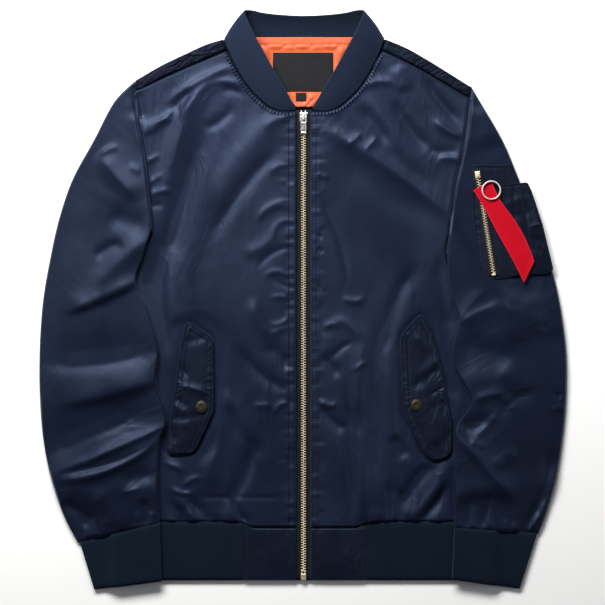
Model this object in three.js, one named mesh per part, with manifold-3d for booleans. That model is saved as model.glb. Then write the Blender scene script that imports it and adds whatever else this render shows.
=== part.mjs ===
// A flight-style bomber jacket laid flat with its front up, zipped to the neck. Millimetres.
// X runs to the wearer's left, Y toward the collar and Z up off the surface it lies on. The origin
// is on that surface, in the middle of the jacket's footprint. "Right" is the wearer's right, at -X.
import * as THREE from "three";
import { mergeVertices } from "three/addons/utils/BufferGeometryUtils.js";
import Module from "manifold-3d";

const wasm = await Module();
wasm.setup();

// Cloth
const WALL = 3; // shell, light wadding and lining together
const GAP = 0.3; // between layers that lie on each other
const SEAM = 0.6; // between two panels along a curved seam
const FRONT_BASE = WALL + GAP;
const FRONT_TOP = FRONT_BASE + WALL;
const LIFT = FRONT_TOP + 0.9; // underside of a sleeve where it lies on the body
const SLEEVE_SLACK = 0.8; // air between the two layers of a sleeve between its folds
const LEAST_SLACK = 0.35;
const FOLD_RADIUS = 3.4; // plan width over which a sleeve's edge rounds away

// Closure
const ZIP_X = 0.6;
const CHAIN_WIDTH = 6.4;
const CHAIN_TOP = 6.2;
const TAPE_THICKNESS = 1;
const FRONT_EDGE = 8.9; // from the middle of the zip to a front's folded edge
const ZIP_TOP = 236;

// Hem and cuffs
const HEM_LOW = -349;
const HEM_SEAM = -277;
const END_PANEL_SEAM = -284;
const HEM_HALF_WIDTH = 216;
const END_SLOPE = 14; // width over which the end panels' seam climbs to the rib's
const RIB_WALL = 3;
const RIB_RISE = 0.4;
const RIB_PITCH = 5.2; // one raised rib stands for two wales

// Collar
const COLLAR_X = 1.5;
const COLLAR_WALL = 2.4;
const COLLAR_RIBS = 60;
const COLLAR_BOW = 1.6;
const NECK_CLEARANCE = 1.4; // from the collar's seam line to the fronts' neck edge

// Half of the collar, outward from its middle line, from the zip round to the centre back: where
// its seam lies and where its free edge stands.
const COLLAR = [
  { seam: [11, 237.5, 4.9], edge: [10.2, 241.5, 6.3] },
  { seam: [28, 237, 4.9], edge: [17, 251, 9.5] },
  { seam: [42, 241.5, 4.9], edge: [23.5, 262, 14] },
  { seam: [53, 250, 5], edge: [30.5, 274, 17.5] },
  { seam: [64, 260.5, 5.1], edge: [39, 288, 20] },
  { seam: [73.5, 272.5, 5.3], edge: [46, 301, 22] },
  { seam: [83, 288, 5.6], edge: [54, 315, 23.5] },
  { seam: [90.5, 303, 6], edge: [61.5, 329, 24.5] },
  { seam: [96.5, 317, 6.4], edge: [69, 345, 24.5] },
  { seam: [98.5, 327, 4.6], edge: [73, 358.5, 24] },
  { seam: [89, 330.5, 2.6], edge: [66, 359.8, 21] },
  { seam: [74, 330, 1.9], edge: [52, 357, 19] },
  { seam: [50, 329.5, 1.9], edge: [35, 355, 17.8] },
  { seam: [25, 329, 1.9], edge: [17, 353.8, 17.2] },
  { seam: [0, 328.8, 1.9], edge: [0, 353.3, 17] },
];

// Folds: a ridge from one point to the other, bowed sideways, with the half width over which it
// dies away and its height. A negative height is a trough.
const FRONT_FOLDS = {
  right: [
    { from: [-150, 268], to: [-174, 120], bow: 8, width: 16, height: 3 },
    { from: [-52, 232], to: [-138, 150], bow: -6, width: 14, height: 2.6 },
    { from: [-24, 222], to: [-70, 140], bow: 5, width: 9, height: 1.8 },
    { from: [-16, 112], to: [-66, 62], bow: 6, width: 8, height: 1.8 },
    { from: [-16, 45], to: [-58, -2], bow: -5, width: 9, height: 1.7 },
    { from: [-100, 118], to: [-84, -50], bow: 10, width: 22, height: 2.4 },
    { from: [-18, -96], to: [-76, -138], bow: 4, width: 10, height: 1.7 },
    { from: [-52, -150], to: [-40, -262], bow: 4, width: 13, height: 1.8 },
    { from: [-84, -150], to: [-96, -272], bow: -5, width: 11, height: 2.2 },
    { from: [-132, -226], to: [-122, -275], bow: 3, width: 9, height: 2.4 },
    { from: [-152, -228], to: [-158, -275], bow: -3, width: 8, height: 2 },
  ],
  left: [
    { from: [18, 222], to: [150, 128], bow: 9, width: 14, height: 3.1 },
    { from: [36, 196], to: [96, 104], bow: -6, width: 12, height: 2.1 },
    { from: [102, 286], to: [158, 196], bow: 6, width: 18, height: 2.6 },
    { from: [18, 92], to: [60, 48], bow: -5, width: 8, height: 1.7 },
    { from: [18, 8], to: [64, -34], bow: 5, width: 9, height: 1.8 },
    { from: [104, 88], to: [88, -52], bow: -9, width: 21, height: 2.3 },
    { from: [62, -60], to: [84, -206], bow: 7, width: 14, height: 2.1 },
    { from: [34, -130], to: [46, -262], bow: -4, width: 12, height: 1.7 },
    { from: [106, -196], to: [94, -274], bow: 4, width: 10, height: 2.3 },
    { from: [172, -214], to: [128, -274], bow: -5, width: 9, height: 2.6 },
    { from: [178, -244], to: [160, -275], bow: 2, width: 7, height: 2 },
  ],
};
const SLEEVE_FOLDS = {
  right: [
    { from: [-214, 246], to: [-246, 176], bow: 6, width: 15, height: 2.2 },
    { from: [-242, 156], to: [-198, 108], bow: 5, width: 10, height: 3 },
    { from: [-192, 76], to: [-290, -12], bow: -8, width: 13, height: 4.6 },
    { from: [-206, 24], to: [-300, -36], bow: 4, width: 9, height: 1.6 },
    { from: [-184, -62], to: [-276, -112], bow: -7, width: 15, height: 4.4 },
    { from: [-172, -152], to: [-306, -220], bow: -12, width: 12, height: 5 },
    { from: [-236, -176], to: [-304, -206], bow: 4, width: 8, height: 2 },
    { from: [-186, -186], to: [-206, -246], bow: 5, width: 10, height: 2.6 },
    { from: [-266, -302], to: [-276, -262], bow: 2, width: 7, height: 2.6 },
    { from: [-242, -298], to: [-240, -262], bow: -2, width: 8, height: 2.2 },
    { from: [-206, -288], to: [-202, -252], bow: 2, width: 7, height: 2.8 },
    { from: [-188, -284], to: [-190, -258], bow: -2, width: 6, height: 2 },
  ],
  left: [
    { from: [214, 240], to: [236, 188], bow: -6, width: 13, height: 2 },
    { from: [192, -20], to: [236, 8], bow: 5, width: 11, height: 3.8 },
    { from: [234, 8], to: [306, -30], bow: 6, width: 13, height: 4 },
    { from: [188, -66], to: [296, -104], bow: 9, width: 14, height: 4.4 },
    { from: [212, -130], to: [300, -150], bow: -8, width: 12, height: 3 },
    { from: [190, -160], to: [262, -196], bow: -6, width: 15, height: 4 },
    { from: [214, -214], to: [292, -238], bow: 5, width: 12, height: 2.4 },
    { from: [198, -286], to: [204, -250], bow: 2, width: 7, height: 2 },
    { from: [226, -290], to: [222, -246], bow: -2, width: 8, height: 2.8 },
    { from: [250, -292], to: [254, -258], bow: 2, width: 7, height: 2 },
    { from: [276, -292], to: [268, -256], bow: -3, width: 7, height: 2.8 },
  ],
};

// The edges of each half. armhole runs down from the shoulder point to where the sleeve covers it,
// hidden goes on under the sleeve to the underarm and down the side seam, outer and inner are the
// sleeve's two folded edges from the armhole to the cuff.
const HALVES = {
  right: {
    sign: -1,
    armhole: [[-208, 275], [-208.5, 252], [-204.5, 220], [-198, 187], [-192, 137], [-188, 86]],
    hidden: [[-188, 86], [-205, 48], [-245, 0], [-262, -42]],
    side: [[-262, -42], [-256, -100], [-242, -160], [-226, -224], [-216, -277]],
    shoulderEdge: [[-101, 325.5], [-122, 319], [-146, 308], [-179, 292], [-208, 275]],
    shoulderSeam: [[-95.5, 311.5], [-121, 300.5], [-164, 282], [-206.4, 262]],
    outer: [
      [-209, 275.5], [-234, 251], [-261, 201], [-288, 151], [-305, 101], [-316, 51], [-324.5, 0],
      [-328.5, -56], [-328.5, -118], [-324, -174], [-314, -224], [-297, -272], [-281, -302.4],
    ],
    inner: [
      [-188.6, 86], [-199, 53], [-208, 21], [-194, -12], [-180, -64], [-182, -103], [-169, -151],
      [-176, -173], [-179, -199], [-179, -243], [-178, -277.4],
    ],
    cuff: { outer: [[-278, -303], [-260.5, -360.6]], inner: [[-178, -278], [-176, -349.5]] },
    endPanel: -74,
  },
  left: {
    sign: 1,
    armhole: [[210, 266], [208, 246], [206, 226], [201, 191], [191, 146], [184, 92], [179, 56]],
    hidden: [[179, 56], [190, 10], [238, -45], [259, -80]],
    side: [[259, -80], [253, -120], [240, -164], [226, -224], [216, -277]],
    shoulderEdge: [[104, 325.5], [128, 315.5], [154, 301], [180, 285], [210, 266]],
    shoulderSeam: [[98.5, 311.5], [124, 299.5], [151, 285.5], [177, 270], [207.4, 252]],
    outer: [
      [211, 266.5], [220, 251], [249, 201], [270, 151], [289, 101], [307, 51], [320, 1],
      [328.5, -62], [328.5, -124], [324, -174], [316, -224], [301, -274], [293.5, -291.6],
    ],
    inner: [
      [179.6, 56], [181, 31], [185, 4], [194, -28], [185, -64], [191, -89], [208, -128],
      [189, -159], [189, -186], [188, -237], [188, -283.4],
    ],
    cuff: { outer: [[292, -292], [270.5, -359.6]], inner: [[188, -284], [185.5, -347]] },
    endPanel: 79,
  },
};

// Pocket flaps: outline of each, the middle line of the flat ground it lies on, and its snap.
const FLAP = { thickness: 1.8, corner: 9, ground: 34, fade: 24 };
const SNAP = { radius: 7.5, height: 2.6 };
const FLAPS = {
  right: {
    outline: [[-144, -25], [-112, -46], [-111, -137], [-135, -189], [-171, -192], [-165, -151],
      [-155, -81], [-149, -40]],
    ground: [[-134, -56], [-143, -166]],
    snap: [-126.5, -132],
  },
  left: {
    outline: [[147, -15], [121, -44], [125.5, -140], [150, -191], [163, -200], [184, -193],
      [185.5, -157], [170, -72], [159, -34]],
    ground: [[140, -48], [158, -168]],
    snap: [141, -130],
  },
};

// The zip pocket on the wearer's left sleeve, the pen pocket on it, and the key ribbon.
const POCKET = {
  ground: [[238, 134], [280, 66]],
  radius: 52,
  fade: 20,
  patch: [[212, 169], [267, 169], [291, 120], [309, 36], [284, 31], [245, 27], [221, 24],
    [215, 82], [211, 122]],
  pen: [[244, 144], [279.5, 147.5], [284, 138], [298, 96], [312, 38], [304, 33], [284, 32.5],
    [257, 30], [250, 90]],
  zipTop: [216, 164],
  zipLow: [237.5, 31.5],
  tapeWidth: 12,
  chainWidth: 5,
  ribbon: [[211.5, 137], [234, 149.5], [246, 124], [263, 101], [277, 77], [288, 49], [275, 21],
    [261, 49], [241, 85], [224, 117]],
  ring: [234, 137],
  ringRadius: 11.2,
  ringWire: 1,
};

const LINING = { inset: 5, thickness: 1.2, puff: 0.8, quilt: 34 };
const LABEL = { size: [75, 48, 0.8], middle: [0, 285] };
const TAB = { size: [13, 10, 0.8], middle: [-2.5, 254] };

// Main slider and its pull tab. The hinge is the pull's cross bar inside the slider's bridge.
const SLIDER = {
  y: 228, width: 9.6, length: 12, under: 4.7, top: 8.1, bridgeWidth: 2.4, bridgeHeight: 4.3,
  bridgeLength: 6.4, bridgeWall: 1.3,
};
const PULL = { hingeY: 228, hingeZ: 9.9, length: 21, width: 7.2, bar: 0.8, thickness: 1.6, tilt: 5.5 };

const { degToRad, smoothstep, lerp } = THREE.MathUtils;
const point = ([x, y]) => new THREE.Vector2(x, y);

// A mesh gathered corner by corner, in quads and triangles.
class Shell {
  corners = [];
  faces = [];

  add(x, y, z) {
    this.corners.push(x, y, z);
    return this.corners.length / 3 - 1;
  }

  quad(a, b, c, d) {
    this.faces.push(a, b, c, a, c, d);
  }

  geometry() {
    const made = new THREE.BufferGeometry();
    made.setAttribute("position", new THREE.Float32BufferAttribute(this.corners, 3));
    made.setIndex(this.faces);
    return outward(made);
  }
}

// Turns a closed geometry's faces outward.
function outward(geometry) {
  const at = geometry.attributes.position;
  const index = Array.from(geometry.index.array);
  const corner = (i) => new THREE.Vector3().fromBufferAttribute(at, i);
  let volume = 0;
  for (let i = 0; i < index.length; i += 3) {
    volume += corner(index[i]).dot(corner(index[i + 1]).cross(corner(index[i + 2])));
  }
  if (volume < 0) index.reverse();
  geometry.setIndex(index);
  return geometry;
}

// Joins overlapping closed geometries into one solid.
function unite(...geometries) {
  const solids = geometries.map((geometry) => {
    const bare = geometry.clone();
    bare.deleteAttribute("normal");
    bare.deleteAttribute("uv");
    const merged = mergeVertices(bare, 1e-4);
    return new wasm.Manifold(
      new wasm.Mesh({
        numProp: 3,
        vertProperties: merged.attributes.position.array,
        triVerts: new Uint32Array(merged.index.array),
      }),
    );
  });
  const mesh = solids.reduce((whole, solid) => whole.add(solid)).getMesh();
  const joined = new THREE.BufferGeometry();
  joined.setAttribute("position", new THREE.BufferAttribute(mesh.vertProperties, 3));
  joined.setIndex(new THREE.BufferAttribute(mesh.triVerts, 1));
  return joined;
}

// Evenly spaced points along a smooth line through the given ones.
function sample(points, steps) {
  const places = points.map(([x, y]) => new THREE.Vector3(x, y, 0));
  const line = new THREE.CatmullRomCurve3(places, false, "centripetal");
  return line.getSpacedPoints(steps).map(({ x, y }) => new THREE.Vector2(x, y));
}

// Evenly spaced points from one place straight to another.
const straight = (from, to, steps) =>
  Array.from({ length: steps + 1 }, (_, i) => point(from).lerp(point(to), i / steps));

// One list of points from several that follow each other.
const joined = (...lists) => lists.flatMap((list, i) => (i ? list.slice(1) : list));

// Distance from a point to a chain of straight stretches.
function distanceTo(chain, x, y) {
  let least = Infinity;
  for (let i = 1; i < chain.length; i++) {
    const [ax, ay] = chain[i - 1];
    const [bx, by] = chain[i];
    const run = (bx - ax) ** 2 + (by - ay) ** 2;
    const share = THREE.MathUtils.clamp(((x - ax) * (bx - ax) + (y - ay) * (by - ay)) / run, 0, 1);
    least = Math.min(least, Math.hypot(x - lerp(ax, bx, share), y - lerp(ay, by, share)));
  }
  return least;
}

// X of a chain whose points run down in Y.
function chainX(chain, y) {
  const next = chain.findIndex((p) => p[1] <= y);
  if (next <= 0) return chain.at(next)[0];
  const [ax, ay] = chain[next - 1];
  const [bx, by] = chain[next];
  return lerp(ax, bx, (ay - y) / (ay - by));
}

// Height that a table of folds gives at a place.
function relief(folds, x, y) {
  return folds.reduce((sum, { from, to, bow, width, height }) => {
    const length = Math.hypot(to[0] - from[0], to[1] - from[1]);
    const [ux, uy] = [(to[0] - from[0]) / length, (to[1] - from[1]) / length];
    const along = ((x - from[0]) * ux + (y - from[1]) * uy) / length;
    const bent = bow * 4 * along * (1 - along);
    const off = (x - from[0]) * uy - (y - from[1]) * ux - bent;
    const ends = smoothstep(Math.min(along, 1 - along), -0.12, 0.25);
    return sum + height * ends * Math.exp(-((off / width) ** 2));
  }, 0);
}

// Points of a four-sided panel, blended in from its edges. left and right have a point for each
// row, low and high one for each column.
function panel(low, high, left, right) {
  const rise = left.at(-1).y - left[0].y;
  return left.map((start, r) => {
    const t = (start.y - left[0].y) / rise;
    return low.map((foot, c) => {
      const s = c / (low.length - 1);
      const corners = low[0].clone().lerp(low.at(-1), s);
      corners.lerp(high[0].clone().lerp(high.at(-1), s), t);
      return start.clone().lerp(right[r], s).add(foot.clone().lerp(high[c], t)).sub(corners);
    });
  });
}

// A wall over a grid of plan points, between two height functions.
function wall(grid, under, over) {
  const shell = new Shell();
  const low = grid.map((row) => row.map(({ x, y }) => shell.add(x, y, under(x, y))));
  const high = grid.map((row) => row.map(({ x, y }) => shell.add(x, y, over(x, y))));
  const [rows, columns] = [grid.length - 1, grid[0].length - 1];
  for (let r = 0; r < rows; r++) {
    for (let c = 0; c < columns; c++) {
      shell.quad(high[r][c], high[r][c + 1], high[r + 1][c + 1], high[r + 1][c]);
      shell.quad(low[r][c], low[r + 1][c], low[r + 1][c + 1], low[r][c + 1]);
    }
    shell.quad(low[r][0], high[r][0], high[r + 1][0], low[r + 1][0]);
    shell.quad(low[r + 1][columns], high[r + 1][columns], high[r][columns], low[r][columns]);
  }
  for (let c = 0; c < columns; c++) {
    shell.quad(low[0][c + 1], high[0][c + 1], high[0][c], low[0][c]);
    shell.quad(low[rows][c], high[rows][c], high[rows][c + 1], low[rows][c + 1]);
  }
  return shell.geometry();
}

// A tube with open ends from matching outer and inner loops, one pair for each ring.
function tube(outer, inner) {
  const shell = new Shell();
  const put = (rings) => rings.map((ring) => ring.map(([x, y, z]) => shell.add(x, y, z)));
  const [out, into] = [put(outer), put(inner)];
  const count = out[0].length;
  for (let i = 0; i < count; i++) {
    const j = (i + 1) % count;
    for (let k = 1; k < out.length; k++) {
      shell.quad(out[k - 1][i], out[k - 1][j], out[k][j], out[k][i]);
      shell.quad(into[k - 1][j], into[k - 1][i], into[k][i], into[k][j]);
    }
    const last = out.length - 1;
    shell.quad(out[0][j], out[0][i], into[0][i], into[0][j]);
    shell.quad(out[last][i], out[last][j], into[last][j], into[last][i]);
  }
  return shell.geometry();
}

// A flat plate with the outline given, its corners rounded, from one height up to another.
function plate(outline, corner, base, thickness) {
  const shape = new THREE.Shape();
  outline.map(point).forEach((at, i, all) => {
    const before = all.at(i - 1);
    const after = all[(i + 1) % all.length];
    const reach = (other) => Math.min(corner, at.distanceTo(other) / 2.2);
    const start = at.clone().add(before.clone().sub(at).setLength(reach(before)));
    const end = at.clone().add(after.clone().sub(at).setLength(reach(after)));
    if (i === 0) shape.moveTo(start.x, start.y);
    else shape.lineTo(start.x, start.y);
    shape.quadraticCurveTo(at.x, at.y, end.x, end.y);
  });
  const made = new THREE.ExtrudeGeometry(shape, {
    depth: thickness,
    bevelEnabled: false,
    curveSegments: 3,
  });
  return made.translate(0, 0, base);
}

// How far the body's hidden side holds a sleeve up off the surface at a place.
function liftAt(half, x, y) {
  const edge = [...half.hidden, ...half.side.slice(1), [half.side.at(-1)[0], HEM_LOW]];
  const overBody = y < edge[0][1] && Math.abs(x) < Math.abs(chainX(edge, y));
  const beyond = overBody ? 0 : distanceTo(edge, x, y);
  return LIFT * (1 - smoothstep(beyond, 14, 35));
}

// Space between the two layers of a sleeve, which its folds open and close.
function slackAt(name, x, y) {
  const { ground, radius, fade } = POCKET;
  const free = name === "left" ? smoothstep(distanceTo(ground, x, y), radius, radius + fade) : 1;
  return Math.max(LEAST_SLACK, SLEEVE_SLACK + free * relief(SLEEVE_FOLDS[name], x, y));
}

// One ring of a flattened tube of cloth between its inner and outer folded edges, with ribs if
// asked. Gives the outer loop and the loop inside the wall.
function flatRing({ half, from, to, cells, slack, wallSize, bend, rib }) {
  const width = from.distanceTo(to);
  const rounds = [0, 1.2, FOLD_RADIUS];
  const span = width - 2 * FOLD_RADIUS;
  const middle = Array.from({ length: cells - 1 }, (_, i) => FOLD_RADIUS + ((i + 1) * span) / cells);
  const places = [...rounds, ...middle, ...rounds.toReversed().map((d) => width - d)];
  const side = (sign) =>
    places.map((d, i) => {
      const edge = Math.min(d, width - d, FOLD_RADIUS);
      const swell = Math.sqrt(1 - (1 - edge / FOLD_RADIUS) ** 2);
      const at = from.clone().lerp(to, d / width).add(bend(d / width));
      const base = liftAt(half, at.x, at.y);
      const open = slack(at.x, at.y) / 2;
      const centre = base + wallSize + open;
      const raised = rib && sign > 0 && i > 2 && i < places.length - 3 && i % 2 ? RIB_RISE : 0;
      const tuck = Math.max(0, wallSize - edge * 0.85) * (d < width / 2 ? 1 : -1);
      const inside = from.clone().lerp(to, (d + tuck) / width).add(bend(d / width));
      return {
        out: [at.x, at.y, centre + sign * swell * (wallSize + open) + raised],
        into: [inside.x, inside.y, centre + sign * swell * open],
      };
    });
  const top = side(1);
  const under = side(-1).slice(1, -1).reverse();
  return { out: [...top, ...under].map((p) => p.out), into: [...top, ...under].map((p) => p.into) };
}

function sleeve(name) {
  const half = HALVES[name];
  const steps = 24;
  const outer = sample(half.outer, steps);
  const inner = sample(half.inner, steps);
  const seam = new THREE.CatmullRomCurve3(
    half.armhole.map(([x, y]) => new THREE.Vector3(x + half.sign * SEAM, y, 0)).reverse(),
    false,
    "centripetal",
  );
  const rings = outer.map((to, k) => {
    const fade = (1 - k / steps) ** 3;
    const bend = (q) => {
      const at = seam.getPointAt(q);
      const chord = inner[0].clone().lerp(outer[0], q);
      return new THREE.Vector2(at.x - chord.x, at.y - chord.y).multiplyScalar(fade);
    };
    return flatRing({
      half, from: inner[k], to, cells: 9, slack: (x, y) => slackAt(name, x, y),
      wallSize: WALL, bend, rib: false,
    });
  });
  return tube(rings.map((r) => r.out), rings.map((r) => r.into));
}

function cuff(name) {
  const half = HALVES[name];
  const [outerTop, outerLow] = half.cuff.outer.map(point);
  const [innerTop, innerLow] = half.cuff.inner.map(point);
  const ribs = Math.round(outerTop.distanceTo(innerTop) / RIB_PITCH);
  const steps = 2;
  const rings = Array.from({ length: steps + 1 }, (_, k) =>
    flatRing({
      half,
      from: innerTop.clone().lerp(innerLow, k / steps),
      to: outerTop.clone().lerp(outerLow, k / steps),
      cells: ribs * 2,
      slack: () => SLEEVE_SLACK,
      wallSize: RIB_WALL - RIB_RISE,
      bend: () => new THREE.Vector2(),
      rib: true,
    }),
  );
  return tube(rings.map((r) => r.out), rings.map((r) => r.into));
}

// The fronts' neck edge, just outside the collar's seam, from the zip to the shoulder.
function neckEdge(sign) {
  return COLLAR.slice(0, 8).map(({ seam, edge }) => {
    const out = point(seam).sub(point(edge)).setLength(NECK_CLEARANCE).add(point(seam));
    return [COLLAR_X + sign * out.x, out.y];
  });
}

// Height of a front's folds. They die away under the sleeve and under the pocket flap.
function frontFolds(name, x, y) {
  const { sign, inner, armhole } = HALVES[name];
  const { ground } = FLAPS[name];
  const cover = y > inner[0][1] ? chainX(armhole, y) : chainX(inner, y);
  const shown = sign * (cover - x);
  const flat = smoothstep(distanceTo(ground, x, y), FLAP.ground, FLAP.ground + FLAP.fade);
  return flat * smoothstep(shown, 2, 24) * Math.max(0, relief(FRONT_FOLDS[name], x, y));
}

function front(name) {
  const half = HALVES[name];
  const zipEdge = ZIP_X + half.sign * FRONT_EDGE;
  const [neck, shoulder] = [neckEdge(half.sign), half.shoulderSeam];
  neck[0] = [zipEdge, ZIP_TOP];
  const high = joined(sample([...neck, shoulder[0]], 8), sample(shoulder, 8));
  const bottom = half.side.at(-1)[0];
  const stepStart = half.endPanel - half.sign * END_SLOPE;
  const low = joined(
    straight([zipEdge, END_PANEL_SEAM + SEAM], [stepStart, END_PANEL_SEAM + SEAM], 5),
    straight([stepStart, END_PANEL_SEAM + SEAM], [half.endPanel, HEM_SEAM + SEAM], 1),
    straight([half.endPanel, HEM_SEAM + SEAM], [bottom, HEM_SEAM + SEAM], high.length - 7),
  );
  const top = shoulder.at(-1)[1];
  const arm = half.armhole.filter((p) => p[1] < top);
  const side = joined(
    sample(half.side.toReversed(), 12),
    sample(half.hidden.toReversed(), 6),
    sample([...arm.toReversed(), shoulder.at(-1)], 12),
  );
  side[0] = low.at(-1).clone();
  const rise = top - side[0].y;
  const centre = side.map(({ y }) => {
    return new THREE.Vector2(zipEdge, lerp(low[0].y, ZIP_TOP, (y - side[0].y) / rise));
  });
  const folds = (x, y) => frontFolds(name, x, y);
  return wall(
    panel(low, high, centre, side),
    (x, y) => FRONT_BASE + folds(x, y),
    (x, y) => FRONT_TOP + folds(x, y),
  );
}

// The back lies flat. Along each shoulder it rolls over the top and comes forward to the seam.
function back() {
  const shape = new THREE.Shape();
  const { right, left } = HALVES;
  const inset = WALL + 0.3;
  const shoulder = (half) => half.shoulderEdge.map(([x, y]) => [x - half.sign * 1.6, y - inset]);
  const outline = [
    ...right.side.toReversed(),
    ...right.hidden.toReversed().slice(1),
    ...sample(right.armhole.toReversed(), 16).slice(1, -1).map(({ x, y }) => [x, y]),
    ...shoulder(right).toReversed(),
    [COLLAR_X - 94, 325.5], [COLLAR_X + 94, 325.5],
    ...shoulder(left),
    ...sample(left.armhole, 16).slice(1, -1).map(({ x, y }) => [x, y]),
    ...left.hidden.slice(0, -1),
    ...left.side,
  ];
  outline[0] = [-HEM_HALF_WIDTH, HEM_SEAM + SEAM];
  outline[outline.length - 1] = [HEM_HALF_WIDTH, HEM_SEAM + SEAM];
  shape.setFromPoints(outline.map(point));
  const flat = new THREE.ExtrudeGeometry(shape, { depth: WALL, bevelEnabled: false });
  return unite(flat, shoulderRoll(right), shoulderRoll(left));
}

// The strip of the back that rolls over a shoulder: a hook section along the shoulder's edge.
function shoulderRoll(half) {
  const steps = 10;
  const edge = sample(half.shoulderEdge, steps);
  const seam = sample(half.shoulderSeam, steps);
  const shell = new Shell();
  const rows = edge.map((top, i) => {
    const reach = top.distanceTo(seam[i]) - SEAM;
    const section = [
      [7, 0.5], [3.2, 0.25], [1.1, 0.9], [0, FRONT_BASE - 0.15], [1.1, FRONT_TOP - 0.9],
      [3.4, FRONT_TOP], [reach, FRONT_TOP], [reach, FRONT_BASE], [3.7, FRONT_BASE], [3.4, 2.5],
      [7, 2.5],
    ];
    return section.map(([into, z]) => {
      const at = top.clone().lerp(seam[i], into / (reach + SEAM));
      return shell.add(at.x, at.y, z);
    });
  });
  const size = rows[0].length;
  for (let i = 1; i < rows.length; i++) {
    for (let j = 0; j < size; j++) {
      const k = (j + 1) % size;
      shell.quad(rows[i - 1][j], rows[i - 1][k], rows[i][k], rows[i][j]);
    }
  }
  capEnds(shell, rows, [[0, 1, 9, 10], [1, 2, 8, 9], [2, 3, 4, 8], [4, 5, 7, 8], [5, 6, 7]]);
  return shell.geometry();
}

// Closes both ends of a run of sections with the polygons given by section corner.
function capEnds(shell, rows, polygons) {
  for (const polygon of polygons) {
    for (let i = 2; i < polygon.length; i++) {
      const [a, b, c] = [polygon[0], polygon[i - 1], polygon[i]];
      shell.faces.push(rows[0][a], rows[0][c], rows[0][b]);
      shell.faces.push(rows.at(-1)[a], rows.at(-1)[b], rows.at(-1)[c]);
    }
  }
}

function collar() {
  const whole = [
    ...COLLAR.map(({ seam, edge }) => mirrorStation(seam, edge, -1)),
    ...COLLAR.slice(0, -1).reverse().map(({ seam, edge }) => mirrorStation(seam, edge, 1)),
  ];
  const seam = new THREE.CatmullRomCurve3(whole.map((s) => s.seam), false, "centripetal");
  const edge = new THREE.CatmullRomCurve3(whole.map((s) => s.edge), false, "centripetal");
  const stations = COLLAR_RIBS * 2;
  const shell = new Shell();
  const shares = [0, 0.35, 0.7, 1];
  const rows = Array.from({ length: stations + 1 }, (_, i) => {
    const t = i / stations;
    const foot = seam.getPoint(t);
    const across = edge.getPoint(t).sub(foot);
    const step = 0.5 / stations;
    const run = seam.getPoint(Math.min(1, t + step)).sub(seam.getPoint(Math.max(0, t - step)));
    run.add(edge.getPoint(Math.min(1, t + step))).sub(edge.getPoint(Math.max(0, t - step)));
    const normal = across.clone().cross(run).normalize();
    const bowed = COLLAR_BOW * Math.min(1, across.length() / 30);
    const face = (share, off) => {
      const at = foot.clone().addScaledVector(across, share);
      at.addScaledVector(normal, off + bowed * Math.sin(Math.PI * share));
      return shell.add(at.x, at.y, at.z);
    };
    const rise = i % 2 ? RIB_RISE : 0;
    const [outside, inside] = [COLLAR_WALL / 2, -COLLAR_WALL / 2];
    return [
      ...shares.map((share) => face(share, outside + (share > 0 && share < 1 ? rise : 0))),
      ...shares.toReversed().map((share) => face(share, inside)),
    ];
  });
  for (let i = 1; i < rows.length; i++) {
    rows[i].forEach((_, j) => {
      const k = (j + 1) % rows[i].length;
      shell.quad(rows[i - 1][j], rows[i - 1][k], rows[i][k], rows[i][j]);
    });
  }
  capEnds(shell, rows, [[0, 1, 6, 7], [1, 2, 5, 6], [2, 3, 4, 5]]);
  return shell.geometry();
}

const mirrorStation = (seam, edge, sign) => ({
  seam: new THREE.Vector3(COLLAR_X + sign * seam[0], seam[1], seam[2]),
  edge: new THREE.Vector3(COLLAR_X + sign * edge[0], edge[1], edge[2]),
});

// The quilted lining that shows in the neck, flat under the label and puffed beyond it.
function lining() {
  const depth = COLLAR.slice(1, 9).map(({ seam }) => seam);
  const halfWidth = (y) => Math.max(2, chainX(depth.toReversed(), y) - LINING.inset);
  const [low, high] = [depth[0][1] + LINING.inset, 326.5];
  const [rows, columns] = [14, 14];
  const grid = Array.from({ length: rows + 1 }, (_, r) => {
    const y = lerp(low, high, r / rows);
    return Array.from({ length: columns + 1 }, (_, c) => {
      return new THREE.Vector2(COLLAR_X + halfWidth(y) * ((2 * c) / columns - 1), y);
    });
  });
  const [width, height] = LABEL.size;
  const puff = (x, y) => {
    const off = Math.max(Math.abs(x - LABEL.middle[0]) - width / 2, Math.abs(y - LABEL.middle[1]) - height / 2);
    const cell = Math.abs(Math.sin((Math.PI * (x + y)) / LINING.quilt) * Math.sin((Math.PI * (x - y)) / LINING.quilt));
    const tab = Math.hypot(x - TAB.middle[0], y - TAB.middle[1]);
    return LINING.puff * cell * smoothstep(off, 8, 20) * smoothstep(tab, 12, 20);
  };
  return wall(grid, () => FRONT_BASE, (x, y) => FRONT_BASE + LINING.thickness + puff(x, y));
}

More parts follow.
